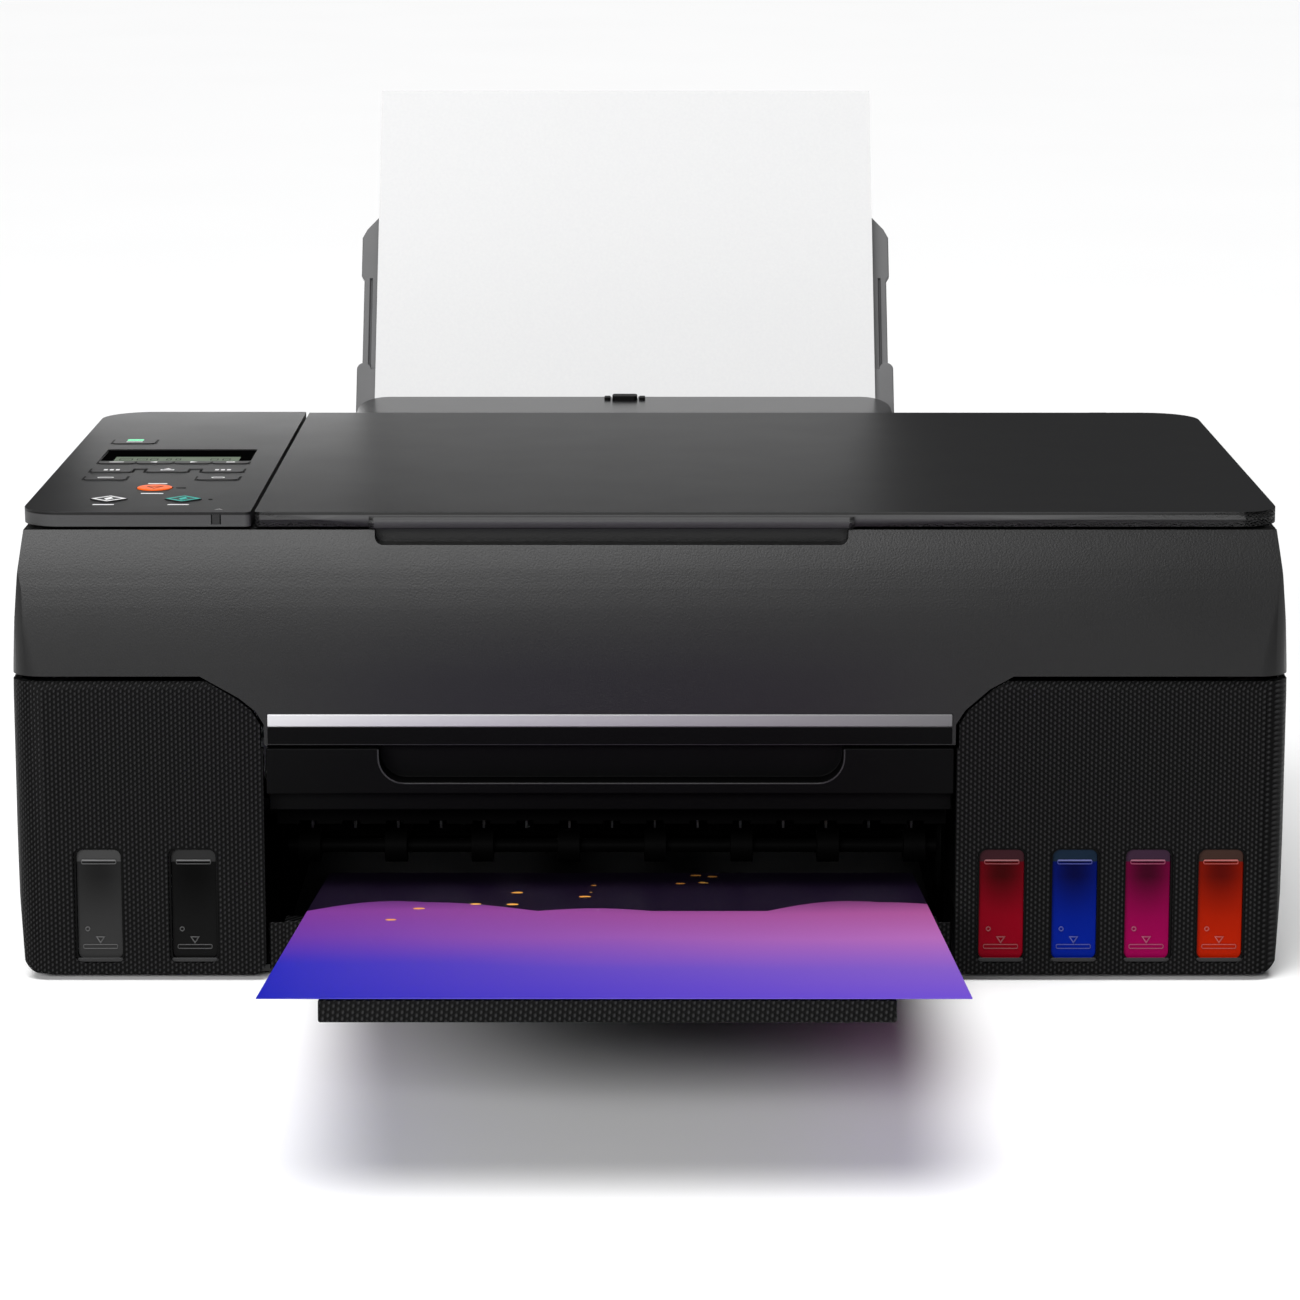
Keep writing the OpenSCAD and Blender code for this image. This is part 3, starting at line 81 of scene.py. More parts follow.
# Noise scales of the moulded plastics: slow clouds of gloss, and the fine grain
CLOUD_SCALE = 35
GRAIN_SCALE = 1500

# Rounding of edges, and what cleans the CAD meshes before it
BEVEL_SEGMENTS = 2
BEVEL_ANGLE = math.radians(35)
WELD_GAP = 1e-6
FLAT_ANGLE = math.radians(0.4)
SLIVER_W = 0.02 * MM


# ---------------------------------------------------------------- materials

def new_material(name, colour, roughness, metallic=0.0, specular=0.5):
    """A material with one Principled node; returns the material, its tree and that node."""
    mat = bpy.data.materials.new(name)
    mat.use_nodes = True
    shader = mat.node_tree.nodes["Principled BSDF"]
    shader.inputs["Base Color"].default_value = (*colour, 1)
    shader.inputs["Roughness"].default_value = roughness
    shader.inputs["Metallic"].default_value = metallic
    shader.inputs["Specular IOR Level"].default_value = specular
    return mat, mat.node_tree, shader


def place(tree):
    """The Object texture coordinate, in metres of the row frame."""
    return tree.nodes.new("ShaderNodeTexCoord").outputs["Object"]


def split_xyz(tree):
    """The X, Y and Z of a point in the row frame, in metres."""
    node = tree.nodes.new("ShaderNodeSeparateXYZ")
    tree.links.new(place(tree), node.inputs[0])
    return node.outputs


def noise(tree, vector, scale, detail=3.0):
    """A noise texture's value."""
    node = tree.nodes.new("ShaderNodeTexNoise")
    node.inputs["Scale"].default_value = scale
    node.inputs["Detail"].default_value = detail
    tree.links.new(vector, node.inputs["Vector"])
    return node.outputs["Fac"]


def math_node(tree, operation, a, b=None):
    """A math node on sockets or numbers."""
    node = tree.nodes.new("ShaderNodeMath")
    node.operation = operation
    for socket, value in zip(node.inputs, (a, b)):
        if value is None:
            continue
        if isinstance(value, (int, float)):
            socket.default_value = value
        else:
            tree.links.new(value, socket)
    return node.outputs[0]


def share(tree, value, low, high):
    """How far a value has come from low to high, where high is 1."""
    return math_node(tree, "MULTIPLY", math_node(tree, "SUBTRACT", value, low), 1 / (high - low))


def spread(tree, value, low, high):
    """Maps a value from 0..1 to low..high."""
    node = tree.nodes.new("ShaderNodeMapRange")
    node.inputs["To Min"].default_value = low
    node.inputs["To Max"].default_value = high
    tree.links.new(value, node.inputs["Value"])
    return node.outputs["Result"]


def ramp(tree, value, stops):
    """A colour ramp; stops are (position, colour)."""
    node = tree.nodes.new("ShaderNodeValToRGB")
    points = node.color_ramp.elements
    while len(points) < len(stops):
        points.new(0.5)
    for point, (position, colour) in zip(points, stops):
        point.position = position
        point.color = (*colour, 1)
    tree.links.new(value, node.inputs["Fac"])
    return node.outputs["Color"]


def rgb(tree, colour):
    """A constant colour."""
    node = tree.nodes.new("ShaderNodeRGB")
    node.outputs[0].default_value = (*colour, 1)
    return node.outputs[0]


def blend(tree, factor, a, b):
    """Mixes two colour sockets."""
    node = tree.nodes.new("ShaderNodeMix")
    node.data_type = "RGBA"
    tree.links.new(factor, node.inputs["Factor"])
    tree.links.new(a, node.inputs[6])
    tree.links.new(b, node.inputs[7])
    return node.outputs[2]


def mixed(a, b, part):
    """A colour part of the way from a to b."""
    return tuple(p + (q - p) * part for p, q in zip(a, b))


def bump(tree, shader, height, distance):
    """Feeds a height into the shader's normal."""
    node = tree.nodes.new("ShaderNodeBump")
    node.inputs["Distance"].default_value = distance
    tree.links.new(height, node.inputs["Height"])
    tree.links.new(node.outputs["Normal"], shader.inputs["Normal"])


def moulded(tree, shader, roughness, grain):
    """A fine grain, in mm, and a roughness that varies a little; returns the value that varies it."""
    where = place(tree)
    cloud = noise(tree, where, CLOUD_SCALE, 4)
    tree.links.new(spread(tree, cloud, roughness * 0.95, roughness * 1.05), shader.inputs["Roughness"])
    bump(tree, shader, noise(tree, where, GRAIN_SCALE, 2), grain * MM)
    return cloud


def plastic(name, colour, roughness, grain=0.02, specular=0.5):
    """Moulded plastic in one colour."""
    mat, tree, shader = new_material(name, colour, roughness, specular=specular)
    cloud = moulded(tree, shader, roughness, grain)
    darker, lighter = (tuple(c * factor for c in colour) for factor in (0.9, 1.1))
    tree.links.new(ramp(tree, cloud, [(0.3, darker), (0.7, lighter)]), shader.inputs["Base Color"])
    return mat


def slab_plastic_with_painted_edge_light():
    """The lid's and the panel's plastic, with painted light on its front edge: a painted highlight band on
    the rounded edge, under a painted shadow line just below the top.
    """
    roughness = 0.45
    slab_h = 5.2 * MM
    # painted highlight colour on the edge, painted shadow line under the top, and the plain top colour
    edge = (0.04, 0.04, 0.0404)
    line = (0.002, 0.002, 0.002)
    top = (0.012, 0.012, 0.0122)
    mat, tree, shader = new_material("lid_black_painted_edge_light", top, roughness, specular=0.15)
    cloud = moulded(tree, shader, roughness, 0.03)
    # painted light by height: the highlight band and the shadow line; the cloud only jitters where they begin
    level = share(tree, split_xyz(tree)[2], PANEL_TOP - slab_h, PANEL_TOP)
    painted_band_level = math_node(tree, "ADD", level, spread(tree, cloud, -0.01, 0.01))
    stops = [(0.02, top), (0.05, edge), (0.78, edge), (0.82, line), (0.9, line), (0.94, top)]
    tree.links.new(ramp(tree, painted_band_level, stops), shader.inputs["Base Color"])
    return mat


def textured_plastic():
    """The bezels' moulded pattern: staggered columns of small raised slanted grains, with a painted highlight
    on the grain tops and painted shade in the hollows between them.
    """
    column = 1.45 * MM
    row = 1.887 * MM
    height = 0.14 * MM
    side_pace = 0.8
    mat, tree, shader = new_material("textured_black", (0.006, 0.006, 0.0062), 0.45, specular=0.05)
    x, y, z = split_xyz(tree)
    # the pattern wraps round the corners, so it runs on x and y together
    run = math_node(tree, "SUBTRACT", x, math_node(tree, "MULTIPLY", y, side_pace))
    across = math_node(tree, "MULTIPLY", run, math.pi / (2 * column))
    up = math_node(tree, "MULTIPLY", z, math.pi / row)
    rising = math_node(tree, "ABSOLUTE", math_node(tree, "SINE", math_node(tree, "ADD", across, up)))
    falling = math_node(tree, "ABSOLUTE", math_node(tree, "SINE", math_node(tree, "SUBTRACT", across, up)))
    line = math_node(tree, "ABSOLUTE", math_node(tree, "COSINE", math_node(tree, "MULTIPLY", across, 2.0)))
    slanted = math_node(tree, "MULTIPLY", math_node(tree, "POWER", rising, 0.35),
                        math_node(tree, "POWER", falling, 0.8))
    grains = math_node(tree, "MULTIPLY", slanted, line)
    bump(tree, shader, grains, height)
    # painted light: the colour follows the grains' height, lighter on top and darker in the hollows
    stops = [(0.15, (0.0007, 0.0007, 0.0007)), (0.5, (0.0025, 0.0025, 0.0026)), (0.9, (0.016, 0.016, 0.0163))]
    tree.links.new(ramp(tree, grains, stops), shader.inputs["Base Color"])
    return mat


def brushed_strip():
    """The bright strip: satin metal paint, with painted shade that darkens it towards the right, away from
    the light on the left.
    """
    left, right = -135 * MM, 105 * MM
    brushing = (20, 1200, 1200)
    mat, tree, shader = new_material("silver", (0.6, 0.6, 0.61), 0.5, metallic=0.6)
    along = share(tree, split_xyz(tree)[0], left, right)
    # painted shade: the colour falls from left to right as the light does
    stops = [(0.0, (0.46, 0.46, 0.465)), (0.35, (0.34, 0.34, 0.343)), (1.0, (0.11, 0.11, 0.112))]
    tree.links.new(ramp(tree, along, stops), shader.inputs["Base Color"])
    stretch = tree.nodes.new("ShaderNodeMapping")
    stretch.inputs["Scale"].default_value = brushing
    tree.links.new(place(tree), stretch.inputs["Vector"])
    bump(tree, shader, noise(tree, stretch.outputs["Vector"], 1.0), 0.01 * MM)
    return mat


def steel():
    """Rolled sheet steel."""
    mat, tree, shader = new_material("steel", (0.55, 0.56, 0.58), 0.35, metallic=1.0)
    cloud = noise(tree, place(tree), 180)
    tree.links.new(spread(tree, cloud, 0.25, 0.5), shader.inputs["Roughness"])
    return mat


def clear(name, colour, alpha, roughness=0.05):
    """Clear or tinted plastic or glass that still shows what is behind it."""
    mat, tree, shader = new_material(name, colour, roughness)
    shader.inputs["Alpha"].default_value = alpha
    smears = noise(tree, place(tree), 60)
    tree.links.new(spread(tree, smears, roughness, roughness + 0.04), shader.inputs["Roughness"])
    return mat


def paper():
    """White copy paper with a faint tooth."""
    mat, tree, shader = new_material("paper", (0.56, 0.56, 0.56), 0.75, specular=0.1)
    fibres = noise(tree, place(tree), 900, 6)
    bump(tree, shader, fibres, 0.02 * MM)
    stops = [(0.3, (0.55, 0.55, 0.555)), (0.7, (0.57, 0.57, 0.57))]
    tree.links.new(ramp(tree, fibres, stops), shader.inputs["Base Color"])
    return mat


def glow(name, colour, strength):
    """A small lit lamp or display."""
    mat, tree, shader = new_material(name, colour, 0.5, specular=0.05)
    shader.inputs["Emission Color"].default_value = (*colour, 1)
    level = spread(tree, noise(tree, place(tree), 400), strength * 0.9, strength * 1.1)
    tree.links.new(level, shader.inputs["Emission Strength"])
    return mat


def print_picture():
    """A generic evening: dark dunes by the bay, then pink, violet and blue haze with golden dots."""
    haze_reach = 0.07
    wave_pace, crest_low, crest_high = 8.5, 0.69, 0.77
    ripple_pace, ripple_start, ripple = 17, 0.37, 0.012
    dot_scale, dot_r = 95, 0.2
    drift_slope, drift_start, drift_w = 0.7, 0.55, 0.075
    bare_share = 0.46
    mat, tree, shader = new_material("print", (0.3, 0.2, 0.6), 0.35, specular=0.3)
    x, y, _ = split_xyz(tree)
    along = share(tree, y, SHEET_LOW[1], BAY_Y)
    side = share(tree, x, SHEET_LOW[0], SHEET_HIGH[0])
    haze = spread(tree, noise(tree, place(tree), 7, 2), -haze_reach, haze_reach)
    height = math_node(tree, "ADD", along, haze)
    left = ramp(tree, height, [
        (0.0, (0.004, 0.008, 0.42)), (0.22, (0.018, 0.016, 0.45)), (0.45, (0.15, 0.036, 0.36)),
        (0.66, (0.21, 0.042, 0.3)), (0.84, (0.04, 0.01, 0.07)), (0.95, (0.001, 0.0005, 0.004)),
    ])
    right = ramp(tree, height, [
        (0.0, (0.14, 0.065, 0.6)), (0.22, (0.22, 0.1, 0.54)), (0.45, (0.44, 0.14, 0.46)),
        (0.66, (0.4, 0.09, 0.3)), (0.84, (0.06, 0.01, 0.06)), (0.95, (0.002, 0.0005, 0.004)),
    ])
    sky = blend(tree, side, left, right)
    # dunes: two soft waves that rise into the haze
    wave = math_node(tree, "SINE", math_node(tree, "MULTIPLY", side, wave_pace))
    crest = spread(tree, wave, crest_low, crest_high)
    ripples = math_node(tree, "MULTIPLY", math_node(tree, "ADD", side, ripple_start), ripple_pace)
    crest = math_node(tree, "ADD", crest, spread(tree, math_node(tree, "SINE", ripples), -ripple, ripple))
    dune = math_node(tree, "GREATER_THAN", along, crest)
    land = blend(tree, dune, sky, rgb(tree, (0.005, 0.0015, 0.011)))
    # golden dots, in a drift from the sheet's left side towards the bay
    dots = tree.nodes.new("ShaderNodeTexVoronoi")
    dots.inputs["Scale"].default_value = dot_scale
    tree.links.new(place(tree), dots.inputs["Vector"])
    disc = math_node(tree, "LESS_THAN", dots.outputs["Distance"], dot_r)
    drift = math_node(tree, "SUBTRACT", math_node(tree, "MULTIPLY", side, drift_slope),
                      math_node(tree, "SUBTRACT", along, drift_start))
    band = math_node(tree, "LESS_THAN", math_node(tree, "ABSOLUTE", drift), drift_w)
    sown = math_node(tree, "GREATER_THAN", noise(tree, place(tree), 60, 0), bare_share)
    shown = math_node(tree, "MULTIPLY", math_node(tree, "MULTIPLY", disc, band), sown)
    gold = blend(tree, noise(tree, place(tree), 120, 1), rgb(tree, (0.9, 0.2, 0.02)),
                 rgb(tree, (0.95, 0.62, 0.12)))
    tree.links.new(blend(tree, shown, land, gold), shader.inputs["Base Color"])
    return mat


def ink_face(name, colours, x):
    """A clear tank wall at x with ink behind it, with painted light and shade on the ink: painted shade
    deepest in the middle, painted light brighter low and at the sides.
    """
    air, deep, bright = colours
    mat, tree, shader = new_material(name, bright, 0.3, specular=0.03)
    px, _, pz = split_xyz(tree)
    height = share(tree, pz, WINDOW_LOW, WINDOW_HIGH)
    offset = share(tree, px, x, x + WINDOW_W / 2)
    square = math_node(tree, "POWER", math_node(tree, "ABSOLUTE", offset), 2.0)
    # painted light: the ink is brighter towards the window's sides
    edge = math_node(tree, "MULTIPLY", square, 0.5)
    # painted shade high in the window, painted light low down
    stops = [(0.1, bright), (0.38, mixed(deep, bright, 0.75)), (0.74, deep), (0.84, deep)]
    depth = ramp(tree, height, stops)
    ink = blend(tree, edge, depth, rgb(tree, bright))
    above = math_node(tree, "GREATER_THAN", height, INK_LEVEL)
    tree.links.new(blend(tree, above, ink, rgb(tree, air)), shader.inputs["Base Color"])
    bump(tree, shader, noise(tree, place(tree), 300, 1), 0.01 * MM)
    return mat


SHELL = plastic("shell_black", (0.003, 0.003, 0.0031), 0.36, grain=0.045, specular=0.25)
SHELL_TOP = slab_plastic_with_painted_edge_light()
# painted shade: near black for the parts deep in the output bay, darker than their own rubber and plastic
BAY_PAINTED_SHADE = plastic("bay_black_painted_shade", (0.0008, 0.0008, 0.0008), 0.6, specular=0.02)
# painted highlight: a lighter black for raised rims and sills, for the light caught on their edges
PAINTED_HIGHLIGHT_RIM = plastic("rim_black_painted_highlight", (0.014, 0.014, 0.0143), 0.4, specular=0.2)
PLATE = plastic("rating_plate_grey", (0.3, 0.3, 0.3), 0.5, specular=0.3)
GRIP = plastic("grip_black", (0.0015, 0.0015, 0.0016), 0.45, specular=0.03)
TEXTURED = textured_plastic()
DARK = plastic("dark_plastic", (0.0018, 0.0018, 0.0018), 0.55, specular=0.05)
GLOSS = plastic("gloss_black", (0.008, 0.008, 0.0085), 0.26, grain=0.004, specular=0.22)
SCREEN = plastic("screen_black", (0.001, 0.001, 0.001), 0.5, grain=0.002, specular=0.0)
GREY = plastic("grey_plastic", (0.065, 0.065, 0.067), 0.45)
WHITE = plastic("white_plastic", (0.62, 0.62, 0.62), 0.5, specular=0.2)
STEEL = steel()
SILVER = brushed_strip()
PAPER = paper()
PRINT = print_picture()
RUBBER = plastic("rubber", (0.008, 0.008, 0.008), 0.8, grain=0.05, specular=0.2)
BOARD = plastic("board_green", (0.02, 0.16, 0.06), 0.4)
GLASS = clear("scanner_glass", (0.09, 0.1, 0.1), 0.4)
TANK = clear("tank_clear", (0.6, 0.62, 0.66), 0.45, 0.2)
KEY = plastic("key_black", (0.012, 0.012, 0.0122), 0.45, grain=0.03, specular=0.15)
ORANGE = plastic("stop_orange", (0.8, 0.11, 0.006), 0.4, specular=0.12)
TEAL = plastic("start_teal", (0.0, 0.36, 0.3), 0.4, specular=0.12)
MARK = plastic("mark_white", (0.75, 0.75, 0.75), 0.5)
MARK_DIM = plastic("mark_grey", (0.25, 0.25, 0.25), 0.5)
LED = glow("led_green", (0.17, 0.66, 0.36), 0.36)
DISPLAY = glow("display_green", (0.085, 0.115, 0.075), 0.1)
# each ink as seen in air above it, in its painted shade where it is deepest, and in its painted light where
# it is brightest
INKS = [
    ((0.04, 0.04, 0.04), (0.007, 0.007, 0.007), (0.022, 0.022, 0.022)),
    ((0.02, 0.02, 0.02), (0.0005, 0.0005, 0.0005), (0.004, 0.004, 0.004)),
    ((0.03, 0.009, 0.012), (0.026, 0.0, 0.0004), (0.17, 0.0, 0.006)),
    ((0.006, 0.014, 0.028), (0.0, 0.0006, 0.026), (0.0, 0.008, 0.17)),
    ((0.03, 0.014, 0.028), (0.026, 0.0, 0.006), (0.19, 0.0, 0.045)),
    ((0.035, 0.018, 0.014), (0.055, 0.001, 0.0), (0.27, 0.008, 0.0)),
]
# what the clear plastic over the inks tends to where it stands out; the upper bar's lip goes further towards
# it, as a painted highlight
FROST = (0.5, 0.5, 0.5)


# ---------------------------------------------------------------- mesh helpers

def finish_edges(obj, width, sliver_w=0.0):
    """Rounds an object's edges, joins slivers narrower than sliver_w, and evens out its shading."""
    if width:
        rounding = obj.modifiers.new("edge", "BEVEL")
        rounding.width = width
        rounding.segments = BEVEL_SEGMENTS
        rounding.limit_method = "ANGLE"
        rounding.angle_limit = BEVEL_ANGLE
        rounding.use_clamp_overlap = True
    if sliver_w:
        tidy = obj.modifiers.new("tidy", "WELD")
        tidy.merge_threshold = sliver_w
    shading = obj.modifiers.new("shading", "WEIGHTED_NORMAL")
    shading.keep_sharp = False


def dress(name, material, edge):
    """Gives a CAD node its finish: a material, and edges rounded by edge in mm."""
    node = NODES[name]
    node.data.materials.clear()
    node.data.materials.append(material)
    if "custom_normal" in node.data.attributes:
        node.data.attributes.remove(node.data.attributes["custom_normal"])
    node.data.shade_smooth()
    weld = node.modifiers.new("weld", "WELD")
    weld.merge_threshold = WELD_GAP
    flat = node.modifiers.new("flat_faces", "DECIMATE")
    flat.decimate_type = "DISSOLVE"
    flat.angle_limit = FLAT_ANGLE
    finish_edges(node, edge * MM, SLIVER_W if name == "document_lid" else 0.0)


def rounded(w, h, r, steps=6):
    """Outline of a rounded rectangle about the origin, anticlockwise."""
    r = min(r, w / 2, h / 2)
    points = []
    for cx, cy, start in ((w / 2 - r, h / 2 - r, 0), (-w / 2 + r, h / 2 - r, 90),
                          (-w / 2 + r, -h / 2 + r, 180), (w / 2 - r, -h / 2 + r, 270)):
        for i in range(steps + 1):
            a = math.radians(start + 90 * i / steps)
            points.append((cx + r * math.cos(a), cy + r * math.sin(a)))
    return points


def shifted(points, dx, dy):
    """An outline moved by dx, dy; a missing one stays missing."""
    return points and [(x + dx, y + dy) for x, y in points]


def slab(name, outline, at, u, v, thickness, body, material, edge=0.0, hole=None):
    """An outline in the plane of u and v through at, made solid along u x v.

    A hole has as many points as the outline.
    """
    u, v, at = Vector(u), Vector(v), Vector(at)
    out = u.cross(v).normalized() * thickness
    mesh = bmesh.new()

    def rims(points):
        return [[mesh.verts.new(at + u * x + v * y + lift) for x, y in points] for lift in (Vector(), out)]

    low, high = rims(outline)
    if hole is None:
        mesh.faces.new(reversed(low))
        mesh.faces.new(high)
    else:
        hole_low, hole_high = rims(hole)
        for i in range(len(outline)):
            j = (i + 1) % len(outline)
            mesh.faces.new((high[i], high[j], hole_high[j], hole_high[i]))
            mesh.faces.new((low[j], low[i], hole_low[i], hole_low[j]))
            mesh.faces.new((hole_low[j], hole_low[i], hole_high[i], hole_high[j]))
    for i in range(len(outline)):
        j = (i + 1) % len(outline)
        mesh.faces.new((low[i], low[j], high[j], high[i]))
    data = bpy.data.meshes.new(name)
    bmesh.ops.recalc_face_normals(mesh, faces=mesh.faces)
    mesh.to_mesh(data)
    mesh.free()
    data.shade_smooth()
    obj = bpy.data.objects.new(name, data)
    bpy.context.scene.collection.objects.link(obj)
    data.materials.append(material)
    finish_edges(obj, edge)
    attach(obj, body)
    return obj


def on_panel(name, outline, x, y, material, body="scanner_unit", z=None, thickness=0.08 * MM, hole=None):
    """A thin printed or inlaid mark that lies level, on the control panel where no z is given."""
    z = PANEL_TOP if z is None else z
    return slab(name, shifted(outline, x, y), (0, 0, z), (1, 0, 0), (0, 1, 0), thickness, body, material,
                hole=shifted(hole, x, y))


def on_front(name, outline, x, z, y, thickness, body, material, edge=0.0, hole=None):
    """A piece on a face that looks to the front, standing out by its thickness."""
    return slab(name, shifted(outline, x, z), (0, y, 0), (1, 0, 0), (0, 0, 1), thickness, body, material,
                edge, shifted(hole, x, z))


def on_back(name, outline, x, z, thickness, body, material, edge=0.0):
    """A piece on the rear wall, standing out by its thickness; x is its place in the frame."""
    return slab(name, shifted(outline, -x, z), (0, REAR_Y, 0), (-1, 0, 0), (0, 0, 1), thickness, body,
                material, edge)


def middle(name):
    """Middle of a CAD node's box."""
    low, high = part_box(name)
    return [(a + b) / 2 for a, b in zip(low, high)]


# ---------------------------------------------------------------- the CAD pieces

# each node's material, and the rounding of its edges in mm
FINISHES = {
    "lower_housing": (SHELL, 0.6), "rear_housing": (SHELL, 0.8), "scanner_housing": (SHELL, 0.9),
    "grip_panel": (GRIP, 0.5), "tank_covers": (SHELL, 0.4), "maintenance_cover": (SHELL, 0.3),
    "front_fascia": (TEXTURED, 0.5), "left_tank_bezel": (TEXTURED, 0.9), "right_tank_bezel": (TEXTURED, 0.9),
    "tray_extension": (TEXTURED, 0.6), "output_tray": (DARK, 0.3),
    "document_lid": (SHELL_TOP, 1.3), "control_panel": (SHELL_TOP, 0.25), "feed_slot_cover": (GLOSS, 0.5),
    "silver_trim": (SILVER, 0.35), "paper_support": (GREY, 0.5), "paper_support_extension": (GREY, 0.5),
    "paper_guide_left": (GREY, 0.4), "paper_guide_right": (GREY, 0.4),
    # the platen and star wheel bar take the bay's painted shade
    "platen": (BAY_PAINTED_SHADE, 0.0), "star_wheel_bar": (BAY_PAINTED_SHADE, 0.3), "print_carriage": (DARK, 0.5),
    "scan_bar": (DARK, 0.5), "tank_caps": (DARK, 0.5), "rear_sockets": (DARK, 0.2),
    "capping_station": (GREY, 0.4), "power_supply": (GREY, 0.6), "maintenance_cartridge": (GREY, 0.4),
    # the rollers in the bay take its painted shade, not their rubber
    "feed_roller": (BAY_PAINTED_SHADE, 0.2), "eject_roller": (BAY_PAINTED_SHADE, 0.2),
    "drive_pulley": (GREY, 0.1), "idler_pulley": (GREY, 0.1),
    "printer_frame": (STEEL, 0.2), "carriage_motor": (STEEL, 0.3), "paper_motor": (STEEL, 0.3),
    "hinge_posts": (STEEL, 0.3), "star_wheels": (STEEL, 0.0), "carriage_belt": (RUBBER, 0.0),
    "pickup_roller": (RUBBER, 0.3), "rubber_feet": (RUBBER, 0.4), "main_board": (BOARD, 0.0),
    "scanner_glass": (GLASS, 0.0), "left_ink_tanks": (TANK, 0.0), "right_ink_tanks": (TANK, 0.0),
    "lid_pad": (WHITE, 0.1), "rear_paper": (PAPER, 0.0), "printed_sheet": (PRINT, 0.0),
    "stop_key": (ORANGE, 0.3), "mono_start_key": (KEY, 0.3), "colour_start_key": (KEY, 0.3),
}
PLAIN_KEYS = ["power_key", "menu_key_1", "menu_key_2", "menu_key_3", "menu_key_4", "left_key", "ok_key",
              "right_key", "back_key", "help_key"]
PLAIN_KEY_EDGE = 0.25


def dress_nodes():
    """Gives every CAD node its material and rounded edges."""
    for name, (material, edge) in FINISHES.items():
        dress(name, material, edge)
    for name in PLAIN_KEYS:
        dress(name, KEY, PLAIN_KEY_EDGE)


# ---------------------------------------------------------------- control panel

def key_mark(name, outline, material=MARK, dx=0.0, dy=0.0, hole=None):
    """A mark printed on a key, riding with it."""
    x, y, _ = middle(name)
    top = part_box(name)[1][2]
    label = f"{name}_mark_{len(bpy.data.objects)}"
    on_panel(label, outline, x + dx, y + dy, material, body=f"{name}_body", z=top, thickness=0.05 * MM,
             hole=hole)


def triangle(size, turn):
    """Outline of a triangle that points along turn degrees."""
    angles = [math.radians(turn + a) for a in (0, 120, 240)]
    return [(size * math.cos(a), size * math.sin(a)) for a in angles]


def diamond(half):
    """Outline of a square that stands on its corner."""
    return [(half, 0), (0, half), (-half, 0), (0, -half)]


def make_keys():
    """Plain marks on the keys: arrows, bars, rings, and the coloured start diamonds."""
    key_mark("menu_key_1", rounded(5.5 * MM, 1.0 * MM, 0.4 * MM))
    key_mark("menu_key_2", triangle(1.7 * MM, 180))
    key_mark("menu_key_3", triangle(1.7 * MM, 0))
    key_mark("menu_key_4", rounded(3.4 * MM, 2.4 * MM, 1.2 * MM), hole=rounded(2.2 * MM, 1.3 * MM, 0.6 * MM))
    for name in ("left_key", "right_key"):
        for i in range(3):
            key_mark(name, rounded(1.4 * MM, 2.6 * MM, 0.3 * MM), dx=(i - 1) * 2.2 * MM)
    key_mark("ok_key", rounded(5 * MM, 2.2 * MM, 0.4 * MM), hole=rounded(3.8 * MM, 1.2 * MM, 0.2 * MM))
    key_mark("ok_key", triangle(2.0 * MM, 90), dy=1.8 * MM)
    key_mark("back_key", rounded(6 * MM, 2.2 * MM, 1.1 * MM), hole=rounded(4.8 * MM, 1.2 * MM, 0.6 * MM))
    key_mark("help_key", rounded(5 * MM, 2.8 * MM, 1.4 * MM), hole=rounded(3.8 * MM, 1.8 * MM, 0.9 * MM))
    key_mark("power_key", rounded(6.2 * MM, 4.0 * MM, 0.8 * MM), material=LED, dy=2.6 * MM)
    key_mark("power_key", rounded(6.2 * MM, 1.6 * MM, 0.5 * MM), dy=-1.8 * MM,
             hole=rounded(5 * MM, 0.7 * MM, 0.2 * MM))
    key_mark("stop_key", triangle(3.6 * MM, 270), material=KEY, hole=triangle(2.7 * MM, 270))
    leaf = [(-0.4 * MM, -3.4 * MM), (1.6 * MM, 0.2 * MM), (0.4 * MM, 3.4 * MM), (-1.6 * MM, -0.2 * MM)]
    for name, colour in (("mono_start_key", MARK), ("colour_start_key", TEAL)):
        key_mark(name, diamond(6.2 * MM), material=colour, hole=diamond(4.7 * MM))
        key_mark(name, leaf, material=colour)


def make_display():
    """The sunk display window with a plain grey-green panel and a few generic dark marks."""
    x = (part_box("menu_key_1")[0][0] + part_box("menu_key_4")[1][0]) / 2 + 0.1 * MM
    y = FRONT_Y + 139 * MM
    z = PANEL_TOP - 0.5 * MM
    window_t = 0.12 * MM
    panel_t = 0.06 * MM
    on_panel("display_window", rounded(56.2 * MM, 29.6 * MM, 1.0 * MM), x, y, SCREEN, z=z, thickness=window_t)
    on_panel("display_panel", rounded(46.6 * MM, 11.6 * MM, 0.3 * MM), x, y - 8.6 * MM, DISPLAY,
             z=z + window_t, thickness=panel_t)
    # each mark's place along the panel and its width, in mm
    marks = ((-19, 5), (-13, 4), (-8.5, 3), (-3, 2), (0.5, 2), (14, 3), (18.5, 3))
    for i, (dx, w) in enumerate(marks):
        on_panel(f"display_mark_{i}", rounded(w * MM, 4.2 * MM, 0.2 * MM), x + dx * MM, y - 9 * MM, DARK,
                 z=z + window_t + panel_t, thickness=0.02 * MM,
                 hole=rounded((w - 0.8) * MM, 3.0 * MM, 0.1 * MM))


